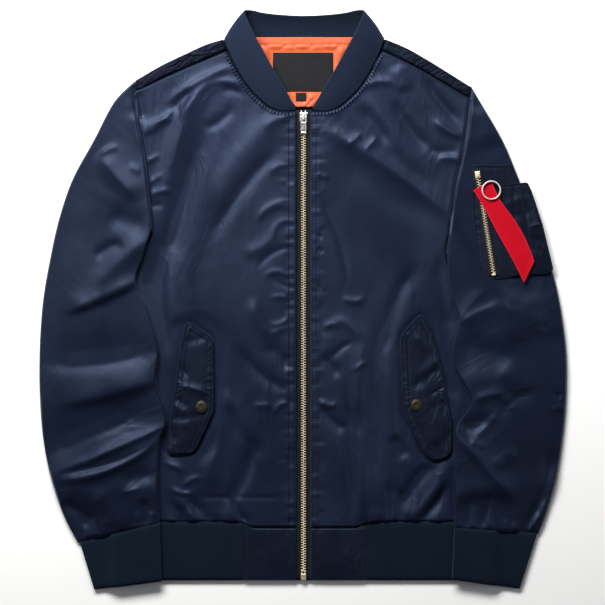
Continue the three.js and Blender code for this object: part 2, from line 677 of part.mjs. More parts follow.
// A band of rib round the hem, folded at the sides: the back layer, and the front ones as far as
// the end panels. Its ribs stand on the outside of the front layers.
function hemRib() {
  const base = FRONT_BASE;
  const top = FRONT_TOP - RIB_RISE;
  const ribbed = (from, to) => {
    const count = Math.round(Math.abs(to - from) / RIB_PITCH);
    return Array.from({ length: count * 2 + 1 }, (_, i) => {
      return [lerp(from, to, i / (count * 2)), top + (i % 2 ? RIB_RISE : 0)];
    });
  };
  const side = HEM_HALF_WIDTH;
  const [startRight, startLeft] = [HALVES.right.endPanel - SEAM, HALVES.left.endPanel + SEAM];
  const outline = [
    ...ribbed(startRight, -side + 3), [-side + 1, top - 1], [-side, base - 0.15], [-side + 1, 0.8],
    [-side + 3, 0], [side - 3, 0], [side - 1, 0.8], [side, base - 0.15], [side - 1, top - 1],
    ...ribbed(side - 3, startLeft), [startLeft, base], [side - 3, base], [side - 3.2, WALL],
    [-side + 3.2, WALL], [-side + 3, base], [startRight, base],
  ];
  const shape = new THREE.Shape(outline.map(point));
  const length = HEM_SEAM - HEM_LOW;
  const made = new THREE.ExtrudeGeometry(shape, { depth: length, bevelEnabled: false, steps: 1 });
  return made.rotateX(Math.PI / 2).translate(0, HEM_SEAM, 0);
}

// The plain cloth panel at each end of the hem, beside the zip.
function endPanel(name) {
  const { sign, endPanel: reach } = HALVES[name];
  const inner = ZIP_X + sign * FRONT_EDGE;
  const outline = [
    [inner, HEM_LOW], [reach, HEM_LOW], [reach, HEM_SEAM], [reach - sign * END_SLOPE, END_PANEL_SEAM],
    [inner, END_PANEL_SEAM],
  ];
  if (sign < 0) outline.reverse();
  const shape = new THREE.Shape(outline.map(point));
  return new THREE.ExtrudeGeometry(shape, { depth: WALL, bevelEnabled: false }).translate(0, 0, FRONT_BASE);
}

// A box from its low and high corners.
function block([x0, y0, z0], [x1, y1, z1]) {
  return new THREE.BoxGeometry(x1 - x0, y1 - y0, z1 - z0).translate(
    (x0 + x1) / 2,
    (y0 + y1) / 2,
    (z0 + z1) / 2,
  );
}

function zipTape(sign) {
  const xs = [ZIP_X + sign * (CHAIN_WIDTH / 2 + GAP), ZIP_X + sign * (FRONT_EDGE - GAP)];
  xs.sort((a, b) => a - b);
  return block([xs[0], HEM_LOW, FRONT_BASE], [xs[1], ZIP_TOP, FRONT_BASE + TAPE_THICKNESS]);
}

// The chain's plain strip, with the box of its bottom end.
function zipChain() {
  const half = CHAIN_WIDTH / 2;
  const boxHeight = 11;
  return unite(
    block([ZIP_X - half, HEM_LOW + 1, FRONT_BASE], [ZIP_X + half, ZIP_TOP, CHAIN_TOP]),
    block(
      [ZIP_X - half - 0.1, HEM_LOW + 0.5, FRONT_BASE + TAPE_THICKNESS + GAP],
      [ZIP_X + half + 0.1, HEM_LOW + boxHeight, CHAIN_TOP + 0.6],
    ),
  );
}

function zipSlider() {
  const { y, width, length, under, top, bridgeWidth, bridgeHeight, bridgeLength, bridgeWall } = SLIDER;
  const inner = CHAIN_WIDTH / 2 + GAP;
  const flange = (sign) => {
    const xs = [ZIP_X + sign * inner, ZIP_X + (sign * width) / 2].sort((a, b) => a - b);
    return block([xs[0], y - length / 2, under], [xs[1], y + length / 2, top - 0.4]);
  };
  const cover = block(
    [ZIP_X - width / 2, y - length / 2, CHAIN_TOP + GAP],
    [ZIP_X + width / 2, y + length / 2, top],
  );
  const post = (sign) => {
    const ys = [y + (sign * bridgeLength) / 2, y + sign * (bridgeLength / 2 - bridgeWall)];
    ys.sort((a, b) => a - b);
    return block([ZIP_X - bridgeWidth / 2, ys[0], top - 0.2], [ZIP_X + bridgeWidth / 2, ys[1], top + bridgeHeight]);
  };
  const bridge = block(
    [ZIP_X - bridgeWidth / 2, y - bridgeLength / 2, top + bridgeHeight - bridgeWall],
    [ZIP_X + bridgeWidth / 2, y + bridgeLength / 2, top + bridgeHeight],
  );
  return unite(cover, flange(-1), flange(1), post(-1), post(1), bridge);
}

// The pull tab: a round cross bar in the slider's bridge, two arms and the tab itself. Built about
// its hinge, lying down along the zip.
function zipPull() {
  const { length, width, bar, thickness } = PULL;
  const arm = 1.6;
  const eye = 6;
  const crossBar = new THREE.CylinderGeometry(bar, bar, width - 0.2, 12).rotateZ(Math.PI / 2);
  const side = (sign) => {
    const xs = [(sign * width) / 2, sign * (width / 2 - arm)].sort((a, b) => a - b);
    return block([xs[0], -eye - 1, -thickness / 2], [xs[1], 0.75, thickness / 2]);
  };
  const outline = [
    [-width / 2, -eye], [width / 2, -eye], [width / 2, -length], [-width / 2, -length],
  ].reverse();
  const tab = plate(outline, 1.6, -thickness / 2, thickness);
  return unite(crossBar, side(-1), side(1), tab);
}

function snap(name) {
  const { radius, height } = SNAP;
  const profile = [
    [0, 0], [radius, 0], [radius, height * 0.4], [radius - 0.6, height * 0.72],
    [radius - 1.4, height * 0.8], [radius * 0.45, height], [0, height],
  ];
  const made = new THREE.LatheGeometry(profile.map(point), 20).rotateX(Math.PI / 2);
  const [x, y] = FLAPS[name].snap;
  const seat = FRONT_TOP + GAP + FLAP.thickness + GAP;
  return made.translate(x, y, seat);
}

// Heights of what is stacked on the pocketed sleeve.
const PATCH_BASE = 2 * WALL + SLEEVE_SLACK + 2 * GAP;
const PATCH_TOP = PATCH_BASE + 1.2;
const ON_PATCH = PATCH_TOP + GAP;
const RIBBON_BASE = ON_PATCH + 2.1;
const RING_BASE = RIBBON_BASE + 1.1 + GAP;

// The pocket's zip: tape, chain and the slider at its upper end.
function pocketZip() {
  const [top, low] = [point(POCKET.zipTop), point(POCKET.zipLow)];
  const run = low.clone().sub(top);
  const length = run.length();
  const { tapeWidth, chainWidth } = POCKET;
  const made = unite(
    block([-tapeWidth / 2, 0, 0], [tapeWidth / 2, length, 0.8]),
    block([-chainWidth / 2, 0.5, 0.4], [chainWidth / 2, length - 0.5, 1.8]),
    block([-3.2, length - 12, 0.4], [3.2, length - 3, 2]),
  );
  return made.rotateZ(Math.atan2(-run.y, -run.x) - Math.PI / 2).translate(low.x, low.y, ON_PATCH);
}

function keyRing() {
  const { ring, ringRadius, ringWire } = POCKET;
  const made = new THREE.TorusGeometry(ringRadius, ringWire, 6, 24);
  return made.translate(ring[0], ring[1], RING_BASE + ringWire);
}

const FINISHES = {
  shell: { color: 0x2a2e48, roughness: 0.45, metalness: 0 },
  rib: { color: 0x1f2b42, roughness: 0.95, metalness: 0 },
  lining: { color: 0xf0703f, roughness: 0.6, metalness: 0 },
  label: { color: 0x2a2b2e, roughness: 0.8, metalness: 0 },
  tape: { color: 0x1b2033, roughness: 0.9, metalness: 0 },
  brass: { color: 0xa9905f, roughness: 0.35, metalness: 1 },
  silver: { color: 0xc9c9c6, roughness: 0.25, metalness: 1 },
  antique: { color: 0x4a4534, roughness: 0.45, metalness: 1 },
  ribbon: { color: 0xdb1626, roughness: 0.85, metalness: 0 },
};

const jacket = new THREE.Group();

function piece(name, geometry, finish) {
  const made = new THREE.Mesh(geometry, new THREE.MeshStandardMaterial(FINISHES[finish]));
  made.name = name;
  jacket.add(made);
  return made;
}

piece("back", back(), "shell");
for (const name of ["right", "left"]) {
  const { sign } = HALVES[name];
  piece(`front_${name}`, front(name), "shell");
  piece(`sleeve_${name}`, sleeve(name), "shell");
  piece(`cuff_${name}`, cuff(name), "rib");
  piece(`hem_end_${name}`, endPanel(name), "shell");
  piece(`flap_${name}`, plate(FLAPS[name].outline, FLAP.corner, FRONT_TOP + GAP, FLAP.thickness), "shell");
  piece(`snap_${name}`, snap(name), "antique");
  piece(`zip_tape_${name}`, zipTape(sign), "tape");
}
piece("collar", collar(), "rib");
piece("hem_rib", hemRib(), "rib");
piece("lining", lining(), "lining");

const onLining = FRONT_BASE + LINING.thickness + GAP;
for (const [name, { size, middle }] of Object.entries({ neck_label: LABEL, size_tab: TAB })) {
  const tag = new THREE.BoxGeometry(...size);
  piece(name, tag, "label").position.set(...middle, onLining + size[2] / 2);
}

piece("zip_chain", zipChain(), "brass");
piece("zip_slider", zipSlider(), "silver");
const pull = piece("zip_pull", zipPull(), "silver");
pull.position.set(ZIP_X, PULL.hingeY, PULL.hingeZ);
pull.rotation.x = degToRad(PULL.tilt);

piece("sleeve_pocket", plate(POCKET.patch, 3, PATCH_BASE, 1.2), "shell");
piece("pen_pocket", plate(POCKET.pen, 4, ON_PATCH, 1.4), "shell");
piece("pocket_zip", pocketZip(), "brass");
piece("key_ribbon", plate(POCKET.ribbon, 1.5, RIBBON_BASE, 1.1), "ribbon");
piece("key_ring", keyRing(), "silver");

export default jacket;
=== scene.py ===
"""A flight-style bomber jacket laid flat, dressed piece by piece over its solids.

The tables give places and sizes in millimetres, with X toward the wearer's left, Y toward the
collar and Z up off the surface that the jacket lies on. Meshes are made in metres. "Right" is the
wearer's right. Angles are in degrees.
"""

import logging
import math
from collections.abc import Callable, Sequence
from dataclasses import dataclass, field
from enum import Enum

import bmesh
import bpy
import numpy as np
from mathutils import Matrix, Vector
from mathutils.bvhtree import BVHTree


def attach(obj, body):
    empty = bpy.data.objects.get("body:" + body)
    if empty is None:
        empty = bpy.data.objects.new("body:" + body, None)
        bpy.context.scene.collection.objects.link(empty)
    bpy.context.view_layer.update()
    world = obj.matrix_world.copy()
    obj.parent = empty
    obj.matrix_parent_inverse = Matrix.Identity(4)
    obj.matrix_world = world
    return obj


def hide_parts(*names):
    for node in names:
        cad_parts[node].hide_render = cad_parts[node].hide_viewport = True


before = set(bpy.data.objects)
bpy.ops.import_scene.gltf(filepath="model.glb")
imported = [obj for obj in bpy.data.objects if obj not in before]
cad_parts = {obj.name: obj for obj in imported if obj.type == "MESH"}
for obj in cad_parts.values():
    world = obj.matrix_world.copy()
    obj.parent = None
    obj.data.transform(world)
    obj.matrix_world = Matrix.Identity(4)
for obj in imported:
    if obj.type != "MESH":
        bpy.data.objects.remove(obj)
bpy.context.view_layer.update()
log = logging.getLogger("jacket")

MM = 0.001
Colour = tuple[float, float, float, float]
Place2 = tuple[float, float]
Place = Callable[[np.ndarray, np.ndarray], np.ndarray]

# Cloth and how it is stacked
WALL = 3.0
GAP = 0.3
SEAM = 0.6
FRONT_BASE = WALL + GAP
FRONT_TOP = FRONT_BASE + WALL
FLOOR_GAP = 0.12
LIFT = FRONT_TOP + 0.9
SLEEVE_SLACK = 0.8
FOLD_RADIUS = 3.4

# Closure and hem
ZIP_X = 0.6
CHAIN_WIDTH = 6.4
FRONT_EDGE = 8.9
ZIP_TOP = 236.0
HEM_LOW = -349.0
HEM_SEAM = -277.0
END_PANEL_SEAM = -284.0
HEM_HALF_WIDTH = 216.0
END_SLOPE = 14.0
WALE = 2.6


class Side(Enum):
    """Which half of the jacket, by the wearer."""

    RIGHT = -1
    LEFT = 1

    @property
    def word(self) -> str:
        """The name that the half's pieces end in."""
        return self.name.lower()


class Facing(Enum):
    """Where the outside of a piece of cloth looks."""

    UP = "up"
    DOWN = "down"
    AROUND = "around"


# ---------------------------------------------------------------------------------------------
# Lines, folds and small irregularities of the cloth
# ---------------------------------------------------------------------------------------------


def smoothstep(value: np.ndarray, low: float, high: float) -> np.ndarray:
    """A soft step.

    Args:
        value: Where it is read.
        low: Where it starts to rise from 0.
        high: Where it has reached 1.

    Returns:
        From 0 to 1 at each value.
    """
    share = np.clip((np.asarray(value, float) - low) / (high - low), 0, 1)
    return share * share * (3 - 2 * share)


def turned_in(distance: np.ndarray, radius: float) -> np.ndarray:
    """How far a rounded edge has dropped.

    Args:
        distance: Distances from the edge.
        radius: Radius of the round.

    Returns:
        The drop at each distance, the whole radius on the edge itself.
    """
    near = np.clip(1 - np.asarray(distance, float) / radius, 0, 1)
    return radius * (1 - np.sqrt(1 - near * near))


def rounded(points: Sequence[Sequence[float]], fine: int = 10) -> np.ndarray:
    """Points along the smooth line through the given ones.

    Args:
        points: The places that it passes, in two or three dimensions.
        fine: Points for each stretch.

    Returns:
        The line's points, one row each.
    """
    given = np.array(points, float)
    ends = np.vstack([2 * given[0] - given[1], given, 2 * given[-1] - given[-2]])
    line = []
    for a, b, c, d in zip(ends, ends[1:], ends[2:], ends[3:]):
        tb = np.linalg.norm(b - a) ** 0.5
        tc = tb + np.linalg.norm(c - b) ** 0.5
        td = tc + np.linalg.norm(d - c) ** 0.5
        t = np.linspace(tb, tc, fine, endpoint=False)[:, None]
        first = (tb - t) / tb * a + t / tb * b
        middle = (tc - t) / (tc - tb) * b + (t - tb) / (tc - tb) * c
        last = (td - t) / (td - tc) * c + (t - tc) / (td - tc) * d
        early = (tc - t) / tc * first + t / tc * middle
        late = (td - t) / (td - tb) * middle + (t - tb) / (td - tb) * last
        line.append((tc - t) / (tc - tb) * early + (t - tb) / (tc - tb) * late)
    return np.vstack([*line, given[-1:]])


class Run:
    """A line on the cloth, read by the share of its length."""

    def __init__(self, points: Sequence[Sequence[float]], smooth: bool = True) -> None:
        """Fits the curve through its places.

        Args:
            points: The places that it passes.
            smooth: Whether it bends softly there.
        """
        self.points = rounded(points) if smooth else np.array(points, float)
        steps = np.linalg.norm(np.diff(self.points, axis=0), axis=1)
        self.marks = np.concatenate([[0.0], np.cumsum(steps)])
        self.length = float(self.marks[-1])

    def at(self, share: np.ndarray) -> np.ndarray:
        """Args: share: shares of the length from the start. Returns: the places there."""
        reach = np.asarray(share, float) * self.length
        return np.stack([np.interp(reach, self.marks, axis) for axis in self.points.T], axis=-1)

    def x_at(self, y: np.ndarray) -> np.ndarray:
        """Args: y: heights on the jacket. Returns: X of a line that only climbs or only falls."""
        order = np.argsort(self.points[:, 1], kind="stable")
        return np.interp(y, self.points[order, 1], self.points[order, 0])

    def distance(self, x: np.ndarray, y: np.ndarray) -> np.ndarray:
        """Measures how far places lie from the line.

        Args:
            x: Places across.
            y: Places up.

        Returns:
            Their distances from the line.
        """
        near = np.full(np.shape(x), np.inf)
        for (ax, ay), (bx, by) in zip(self.points[:-1, :2], self.points[1:, :2]):
            run = (bx - ax) ** 2 + (by - ay) ** 2
            if run == 0:
                continue
            share = np.clip(((x - ax) * (bx - ax) + (y - ay) * (by - ay)) / run, 0, 1)
            off = np.hypot(x - ax - share * (bx - ax), y - ay - share * (by - ay))
            near = np.minimum(near, off)
        return near

    def moved(self, off: float) -> "Run":
        """Offsets the line, as a stitch line follows a seam.

        Args:
            off: How far to its left.

        Returns:
            The line beside this one.
        """
        ahead = np.gradient(self.points[:, :2], axis=0)
        ahead /= np.maximum(np.linalg.norm(ahead, axis=1), 1e-9)[:, None]
        beside = np.stack([-ahead[:, 1], ahead[:, 0]], axis=1)
        return Run(self.points[:, :2] + off * beside, smooth=False)

    def part(self, start: float, end: float) -> "Run":
        """Args: start, end: shares of the length. Returns: the stretch between them."""
        count = max(3, int(abs(end - start) * self.length / 4))
        return Run(self.at(np.linspace(start, end, count)), smooth=False)


class Unevenness:
    """Seeded smooth noise, for what no two stretches of real cloth share."""

    def __init__(self, seed: int) -> None:
        """Args: seed: which noise it is."""
        self.table = np.random.default_rng(seed).uniform(-1, 1, (64, 64))

    def at(self, u: np.ndarray, v: np.ndarray | float = 0.0) -> np.ndarray:
        """Reads the noise.

        Args:
            u, v: Where it is read, in swells.

        Returns:
            From -1 to 1 at each place.
        """
        u, v = np.broadcast_arrays(np.asarray(u, float), np.asarray(v, float))
        i, j = np.floor(u).astype(int), np.floor(v).astype(int)
        a, b = u - i, v - j
        a, b = a**3 * (a * (a * 6 - 15) + 10), b**3 * (b * (b * 6 - 15) + 10)
        table = self.table
        low = table[i & 63, j & 63] * (1 - a) + table[(i + 1) & 63, j & 63] * a
        high = table[i & 63, (j + 1) & 63] * (1 - a) + table[(i + 1) & 63, (j + 1) & 63] * a
        return low * (1 - b) + high * b

    def crumple(self, x: np.ndarray, y: np.ndarray, size: float, turn: float) -> np.ndarray:
        """Creases of thin crisp cloth.

        Args:
            x: Places across, in millimetres.
            y: Places up.
            size: Width of one crease.
            turn: Angle of the creases from upright.

        Returns:
            About -1 to 1 at each place, with narrow ridges.
        """
        c, s = math.cos(math.radians(turn)), math.sin(math.radians(turn))
        u, v = (x * c + y * s) / size, (y * c - x * s) / (size * 2.6)
        warp = self.at(u * 0.45 + 7, v * 0.6 + 3)
        ridge = 1 - 2 * np.abs(self.at(u + 1.5 * warp, v + 1.1 * warp + 20))
        return 0.55 * ridge + 0.45 * self.at(u * 0.5 + 11, v * 0.7 + warp)


@dataclass(frozen=True)
class Fold:
    """A ridge laid in the cloth, or a trough where its height is negative.

    Attributes:
        start: Where it begins.
        end: Where it ends.
        bow: How far its middle bends aside.
        width: Half width over which it dies away.
        height: How high it stands.
        crisp: 2 for a soft round one, less for a pressed one.
        lean: How much wider it is on its left than on its right, looking back from its end.
    """

    start: Place2
    end: Place2
    bow: float
    width: float
    height: float
    crisp: float = 2.0
    lean: float = 0.0

    def at(self, x: np.ndarray, y: np.ndarray) -> np.ndarray:
        """Works out the fold's soft ridge or trough.

        Args:
            x: Places across.
            y: Places up.

        Returns:
            The fold's height there.
        """
        length = math.dist(self.start, self.end)
        ux, uy = ((b - a) / length for a, b in zip(self.start, self.end))
        dx, dy = x - self.start[0], y - self.start[1]
        along = (dx * ux + dy * uy) / length
        off = dx * uy - dy * ux - self.bow * 4 * along * (1 - along)
        ends = smoothstep(np.minimum(along, 1 - along), -0.12, 0.25)
        width = self.width * (1 + self.lean * np.sign(off))
        return self.height * ends * np.exp(-((np.abs(off) / width) ** self.crisp))


def relief(folds: Sequence[Fold], x: np.ndarray, y: np.ndarray) -> np.ndarray:
    """Args: folds: a table of them. x, y: places. Returns: the height that they give there."""
    return sum((fold.at(x, y) for fold in folds), np.zeros(np.shape(x)))


# ---------------------------------------------------------------------------------------------
# The cut
# ---------------------------------------------------------------------------------------------


@dataclass(frozen=True)
class Half:
    """The edges of one half of the jacket, each running down from the shoulder.

    Attributes:
        side: Which half.
        armhole: The armhole seam, from the shoulder to where the sleeve covers it.
        hidden: The body's edge under the sleeve, on to the underarm.
        flank: The side seam.
        shoulder_edge: The line over which the back rolls forward.
        shoulder_seam: Where the rolled strip meets the front.
        outer: The sleeve's outer fold.
        inner: The sleeve's inner fold.
        cuff_outer: Top and end of the cuff's outer fold.
        cuff_inner: Top and end of the cuff's inner fold.
        end_panel: How far the plain panel at the end of the hem reaches.
    """

    side: Side
    armhole: tuple[Place2, ...]
    hidden: tuple[Place2, ...]
    flank: tuple[Place2, ...]
    shoulder_edge: tuple[Place2, ...]
    shoulder_seam: tuple[Place2, ...]
    outer: tuple[Place2, ...]
    inner: tuple[Place2, ...]
    cuff_outer: tuple[Place2, Place2]
    cuff_inner: tuple[Place2, Place2]
    end_panel: float

    @property
    def sign(self) -> int:
        """-1 on the wearer's right, 1 on the left."""
        return self.side.value

    def lift(self, x: np.ndarray, y: np.ndarray) -> np.ndarray:
        """Tells how the body's edge holds the sleeve up.

        Args:
            x, y: Places.

        Returns:
            How far the body's edge holds the sleeve up there.
        """
        hem = (self.flank[-1][0], HEM_LOW)
        edge = Run([*self.hidden, *self.flank[1:], hem], smooth=False)
        over = (y < self.hidden[0][1]) & (np.abs(x) < np.abs(edge.x_at(y)))
        beyond = np.where(over, 0.0, edge.distance(x, y))
        return LIFT * (1 - smoothstep(beyond, 14, 35))

    def cover(self, y: np.ndarray) -> np.ndarray:
        """Args: y: heights on the jacket. Returns: X at which the sleeve starts there."""
        return Run([*self.armhole, *self.inner[1:]], smooth=False).x_at(y)


RIGHT = Half(
    side=Side.RIGHT,
    armhole=((-208, 275), (-208.5, 252), (-204.5, 220), (-198, 187), (-192, 137), (-188, 86)),
    hidden=((-188, 86), (-211, 48), (-249, 0), (-263, -42)),
    flank=((-262, -42), (-256, -100), (-242, -160), (-226, -224), (-216, -277)),
    shoulder_edge=((-101, 325.5), (-122, 319), (-146, 308), (-179, 292), (-208, 275)),
    shoulder_seam=((-95.5, 311.5), (-121, 300.5), (-164, 282), (-206.4, 262)),
    outer=(
        (-209, 275.5), (-234, 251), (-261, 201), (-288, 151), (-305, 101), (-316, 51),
        (-324.5, 0), (-328.5, -56), (-328.5, -118), (-324, -174), (-314, -224), (-297, -272),
        (-281, -302.4),
    ),
    inner=(
        (-188.6, 86), (-199, 53), (-208, 21), (-194, -12), (-180, -64), (-182, -103),
        (-169, -151), (-176, -173), (-179, -199), (-179, -243), (-178, -277.4),
    ),
    cuff_outer=((-278, -303), (-260.5, -360.6)),
    cuff_inner=((-178, -278), (-176, -349.5)),
    end_panel=-74,
)

LEFT = Half(
    side=Side.LEFT,
    armhole=((210, 266), (208, 246), (206, 226), (201, 191), (191, 146), (184, 92), (179, 56)),
    hidden=((179, 56), (196, 12), (242, -45), (260, -80)),
    flank=((259, -80), (253, -120), (240, -164), (226, -224), (216, -277)),
    shoulder_edge=((104, 325.5), (128, 315.5), (154, 301), (180, 285), (210, 266)),
    shoulder_seam=((98.5, 311.5), (124, 299.5), (151, 285.5), (177, 270), (207.4, 252)),
    outer=(
        (211, 266.5), (220, 251), (249, 201), (270, 151), (289, 101), (307, 51), (320, 1),
        (328.5, -62), (328.5, -124), (324, -174), (316, -224), (301, -274), (293.5, -291.6),
    ),
    inner=(
        (179.6, 56), (181, 31), (185, 4), (194, -28), (185, -64), (191, -89), (208, -128),
        (189, -159), (189, -186), (188, -237), (188, -283.4),
    ),
    cuff_outer=((292, -292), (270.5, -359.6)),
    cuff_inner=((188, -284), (185.5, -347)),
    end_panel=79,
)

FRONT_FOLDS: dict[Side, tuple[Fold, ...]] = {
    Side.RIGHT: (
        # Fan from the neck and the shoulder toward the armhole
        Fold((-88, 292), (-166, 248), 4, 5, 2.2, 1.5),
        Fold((-78, 268), (-112, 271), 3, 5, 1.8, 1.5),
        Fold((-76, 258), (-100, 262), 2, 4, -1.3, 1.5),
        Fold((-112, 275), (-150, 228), 4, 6, 2.2, 1.6),
        Fold((-86, 242), (-122, 214), -4, 6, -1.9, 1.8),
        Fold((-140, 262), (-162, 236), 2, 7, -1.6),
        Fold((-128, 262), (-172, 120), 8, 13, 3.2),
        Fold((-207, 262), (-199, 224), 0, 6, -3.2, 1.6),
        Fold((-162, 238), (-199, 208), -3, 4, 2.0, 1.4),
        Fold((-164, 226), (-198, 214), 3, 3, 1.4, 1.3),
        Fold((-198, 170), (-180, 181), 0, 2.6, 1.3, 1.2),
        Fold((-195, 143), (-176, 157), 0, 3, 1.4, 1.3),
        Fold((-193, 129), (-164, 136), -3, 4, 1.8, 1.4),
        Fold((-192, 117), (-174, 120), 0, 4, -1.4, 1.4),
        # Long troughs down the chest
        Fold((-128, 205), (-188, 5), -2, 13, -3.6),
        Fold((-188, 66), (-172, -66), 3, 11, -5.6, 1.7),
        Fold((-170, 76), (-156, -50), 3, 11, 2.2),
        Fold((-200, 92), (-184, 40), 0, 12, -4.0),
        Fold((-118, 190), (-150, 0), 0, 15, 1.8),
        Fold((-28, 190), (-112, 78), 8, 8, -2.5),
        Fold((-22, 234), (-115, 110), 10, 16, 3.0),
        Fold((-14, 229), (-48, 214), 4, 5, 2.0, 1.5),
        # Puckers beside the zip
        Fold((-18, 168), (-42, 158), 4, 3.5, 1.7, 1.3),
        Fold((-18, 124), (-56, 101), 6, 3.4, 2.2, 1.3),
        Fold((-18, 118), (-45, 108), 4, 2.2, 1.2, 1.2),
        Fold((-18, 101), (-38, 78), 6, 3.5, 1.8, 1.4),
        Fold((-32, 84), (-72, 58), -4, 8, 1.9, 1.6),
        Fold((-18, 66), (-56, 42), 5, 3.5, -2.0, 1.4),
        Fold((-17, 28), (-48, 30), 7, 3, 1.9, 1.3),
        Fold((-18, 18), (-40, 31), -3, 3.5, -1.5, 1.4),
        Fold((-17, 0), (-40, 2), 4, 2.8, 1.6, 1.3),
        Fold((-64, 0), (-38, -48), 4, 8, 2.4, 1.6),
        Fold((-18, -22), (-40, -30), -3, 3, 1.6, 1.3),
        Fold((-17, -34), (-38, -44), 3, 3, 1.7, 1.3),
        Fold((-46, -58), (-18, -84), -4, 8, -2.5, 1.8),
        Fold((-80, -62), (-22, -112), 5, 7, -2.4, 1.8),
        Fold((-60, -131), (-38, -131), 0, 3, 1.2, 1.3),
        Fold((-18, -129), (-36, -142), 5, 3, 1.7, 1.3),
        # Upright folds down to the hem
        Fold((-98, -116), (-66, -188), -6, 10, 2.2),
        Fold((-90, -122), (-54, -192), 8, 9, -1.9),
        Fold((-66, -188), (-92, -250), -5, 7, -3.1, 1.7),
        Fold((-90, -244), (-70, -277), 2, 4, -2.2, 1.5),
        Fold((-108, -150), (-118, -232), 0, 10, 2.2),
        Fold((-176, -203), (-150, -211), -2, 3.5, 1.8, 1.3),
        Fold((-164, -234), (-138, -240), 3, 3, 2.0, 1.2),
        Fold((-150, -232), (-128, -220), -2, 3, 1.6, 1.2),
        Fold((-132, -245), (-20, -246), 0, 2.2, -0.8, 1.3),
        Fold((-178, -236), (-148, -277), 2, 8, -3.0, 1.7),
        Fold((-142, -250), (-112, -277), 0, 8, -2.1),
        Fold((-158, -244), (-130, -276), 0, 6, 1.8, 1.6),
    ),
    Side.LEFT: (
        # The long ridge from the neck to the armhole, and its troughs
        Fold((16, 220), (188, 102), -6, 10, 3.7, 1.7),
        Fold((56, 194), (72, 206), 0, 3.5, 1.6, 1.3),
        Fold((78, 188), (92, 202), 0, 4, 1.6, 1.3),
        Fold((40, 186), (152, 104), 6, 14, -1.3),
        Fold((72, 240), (106, 196), -2, 7, -2.3),
        Fold((112, 246), (158, 188), 3, 7, -2.3),
        Fold((78, 262), (150, 160), 4, 11, 2.3),
        Fold((78, 268), (112, 271), -3, 4, 2.0, 1.4),
        Fold((118, 292), (128, 262), 2, 10, 2.2),
        Fold((152, 276), (196, 222), 3, 6, -2.3, 1.8),
        Fold((164, 224), (200, 204), 3, 5, 2.5, 1.5),
        Fold((170, 176), (198, 172), -4, 5, 1.9, 1.5),
        Fold((156, 188), (190, 186), 2, 6, -1.5, 1.6),
        # Puckers beside the zip
        Fold((16, 158), (32, 152), 0, 3, 1.4, 1.3),
        Fold((18, 135), (56, 30), -5, 4.5, -2.2, 1.6),
        Fold((18, 82), (24, 78), 0, 2.5, -1.6, 1.4),
        Fold((18, 65), (25, 61), 0, 2.5, -1.6, 1.4),
        Fold((17, 18), (24, 15), 0, 2.5, -1.5, 1.4),
        Fold((50, 3), (76, 1), 3, 3.5, 2.1, 1.3),
        Fold((26, -34), (46, -31), -3, 3.5, 2.0, 1.3),
        Fold((38, -22), (74, -50), -5, 6, 2.2, 1.5),
        Fold((28, -42), (29, -66), 0, 2.4, 1.3, 1.2),
        Fold((36, -42), (35, -66), 0, 2.4, 1.3, 1.2),
        Fold((36, -72), (60, -52), -2, 3.5, -1.8, 1.4),
        Fold((22, -70), (44, -94), -2, 6, -2.2, 1.6),
        Fold((60, -88), (82, -74), 0, 2.5, 1.3, 1.2),
        Fold((20, -126), (42, -131), 2, 3.5, 2.0, 1.3),
        Fold((22, -133), (54, -162), 3, 6, -2.4, 1.6),
        # Upright folds down to the hem
        Fold((178, 48), (190, -40), 0, 11, -4.6, 1.7),
        Fold((186, -40), (190, -120), 0, 9, -4.0, 1.7),
        Fold((136, 38), (104, -60), 7, 8, -3.1, 1.7),
        Fold((80, -40), (66, -150), 4, 10, 2.5),
        Fold((70, -150), (72, -275), -3, 8, 2.3),
        Fold((56, -96), (62, -268), 0, 6, -2.3),
        Fold((97, -20), (88, -230), 3, 10, -3.0),
        Fold((108, -70), (116, -190), 0, 9, 2.1),
        Fold((116, -168), (128, -196), 0, 10, -2.0),
        Fold((122, -160), (150, -200), 0, 5, 1.9, 1.5),
        Fold((184, -202), (134, -272), -4, 8, 2.4, 1.6),
        Fold((186, -224), (146, -276), -2, 6, -2.8, 1.6),
        Fold((160, -205), (124, -256), 4, 8, -2.5),
        Fold((106, -228), (108, -276), 0, 4, -2.0, 1.5),
        Fold((115, -240), (114, -276), 0, 3, 1.7, 1.3),
        Fold((122, -238), (122, -274), 0, 4, -1.6, 1.5),
    ),
}

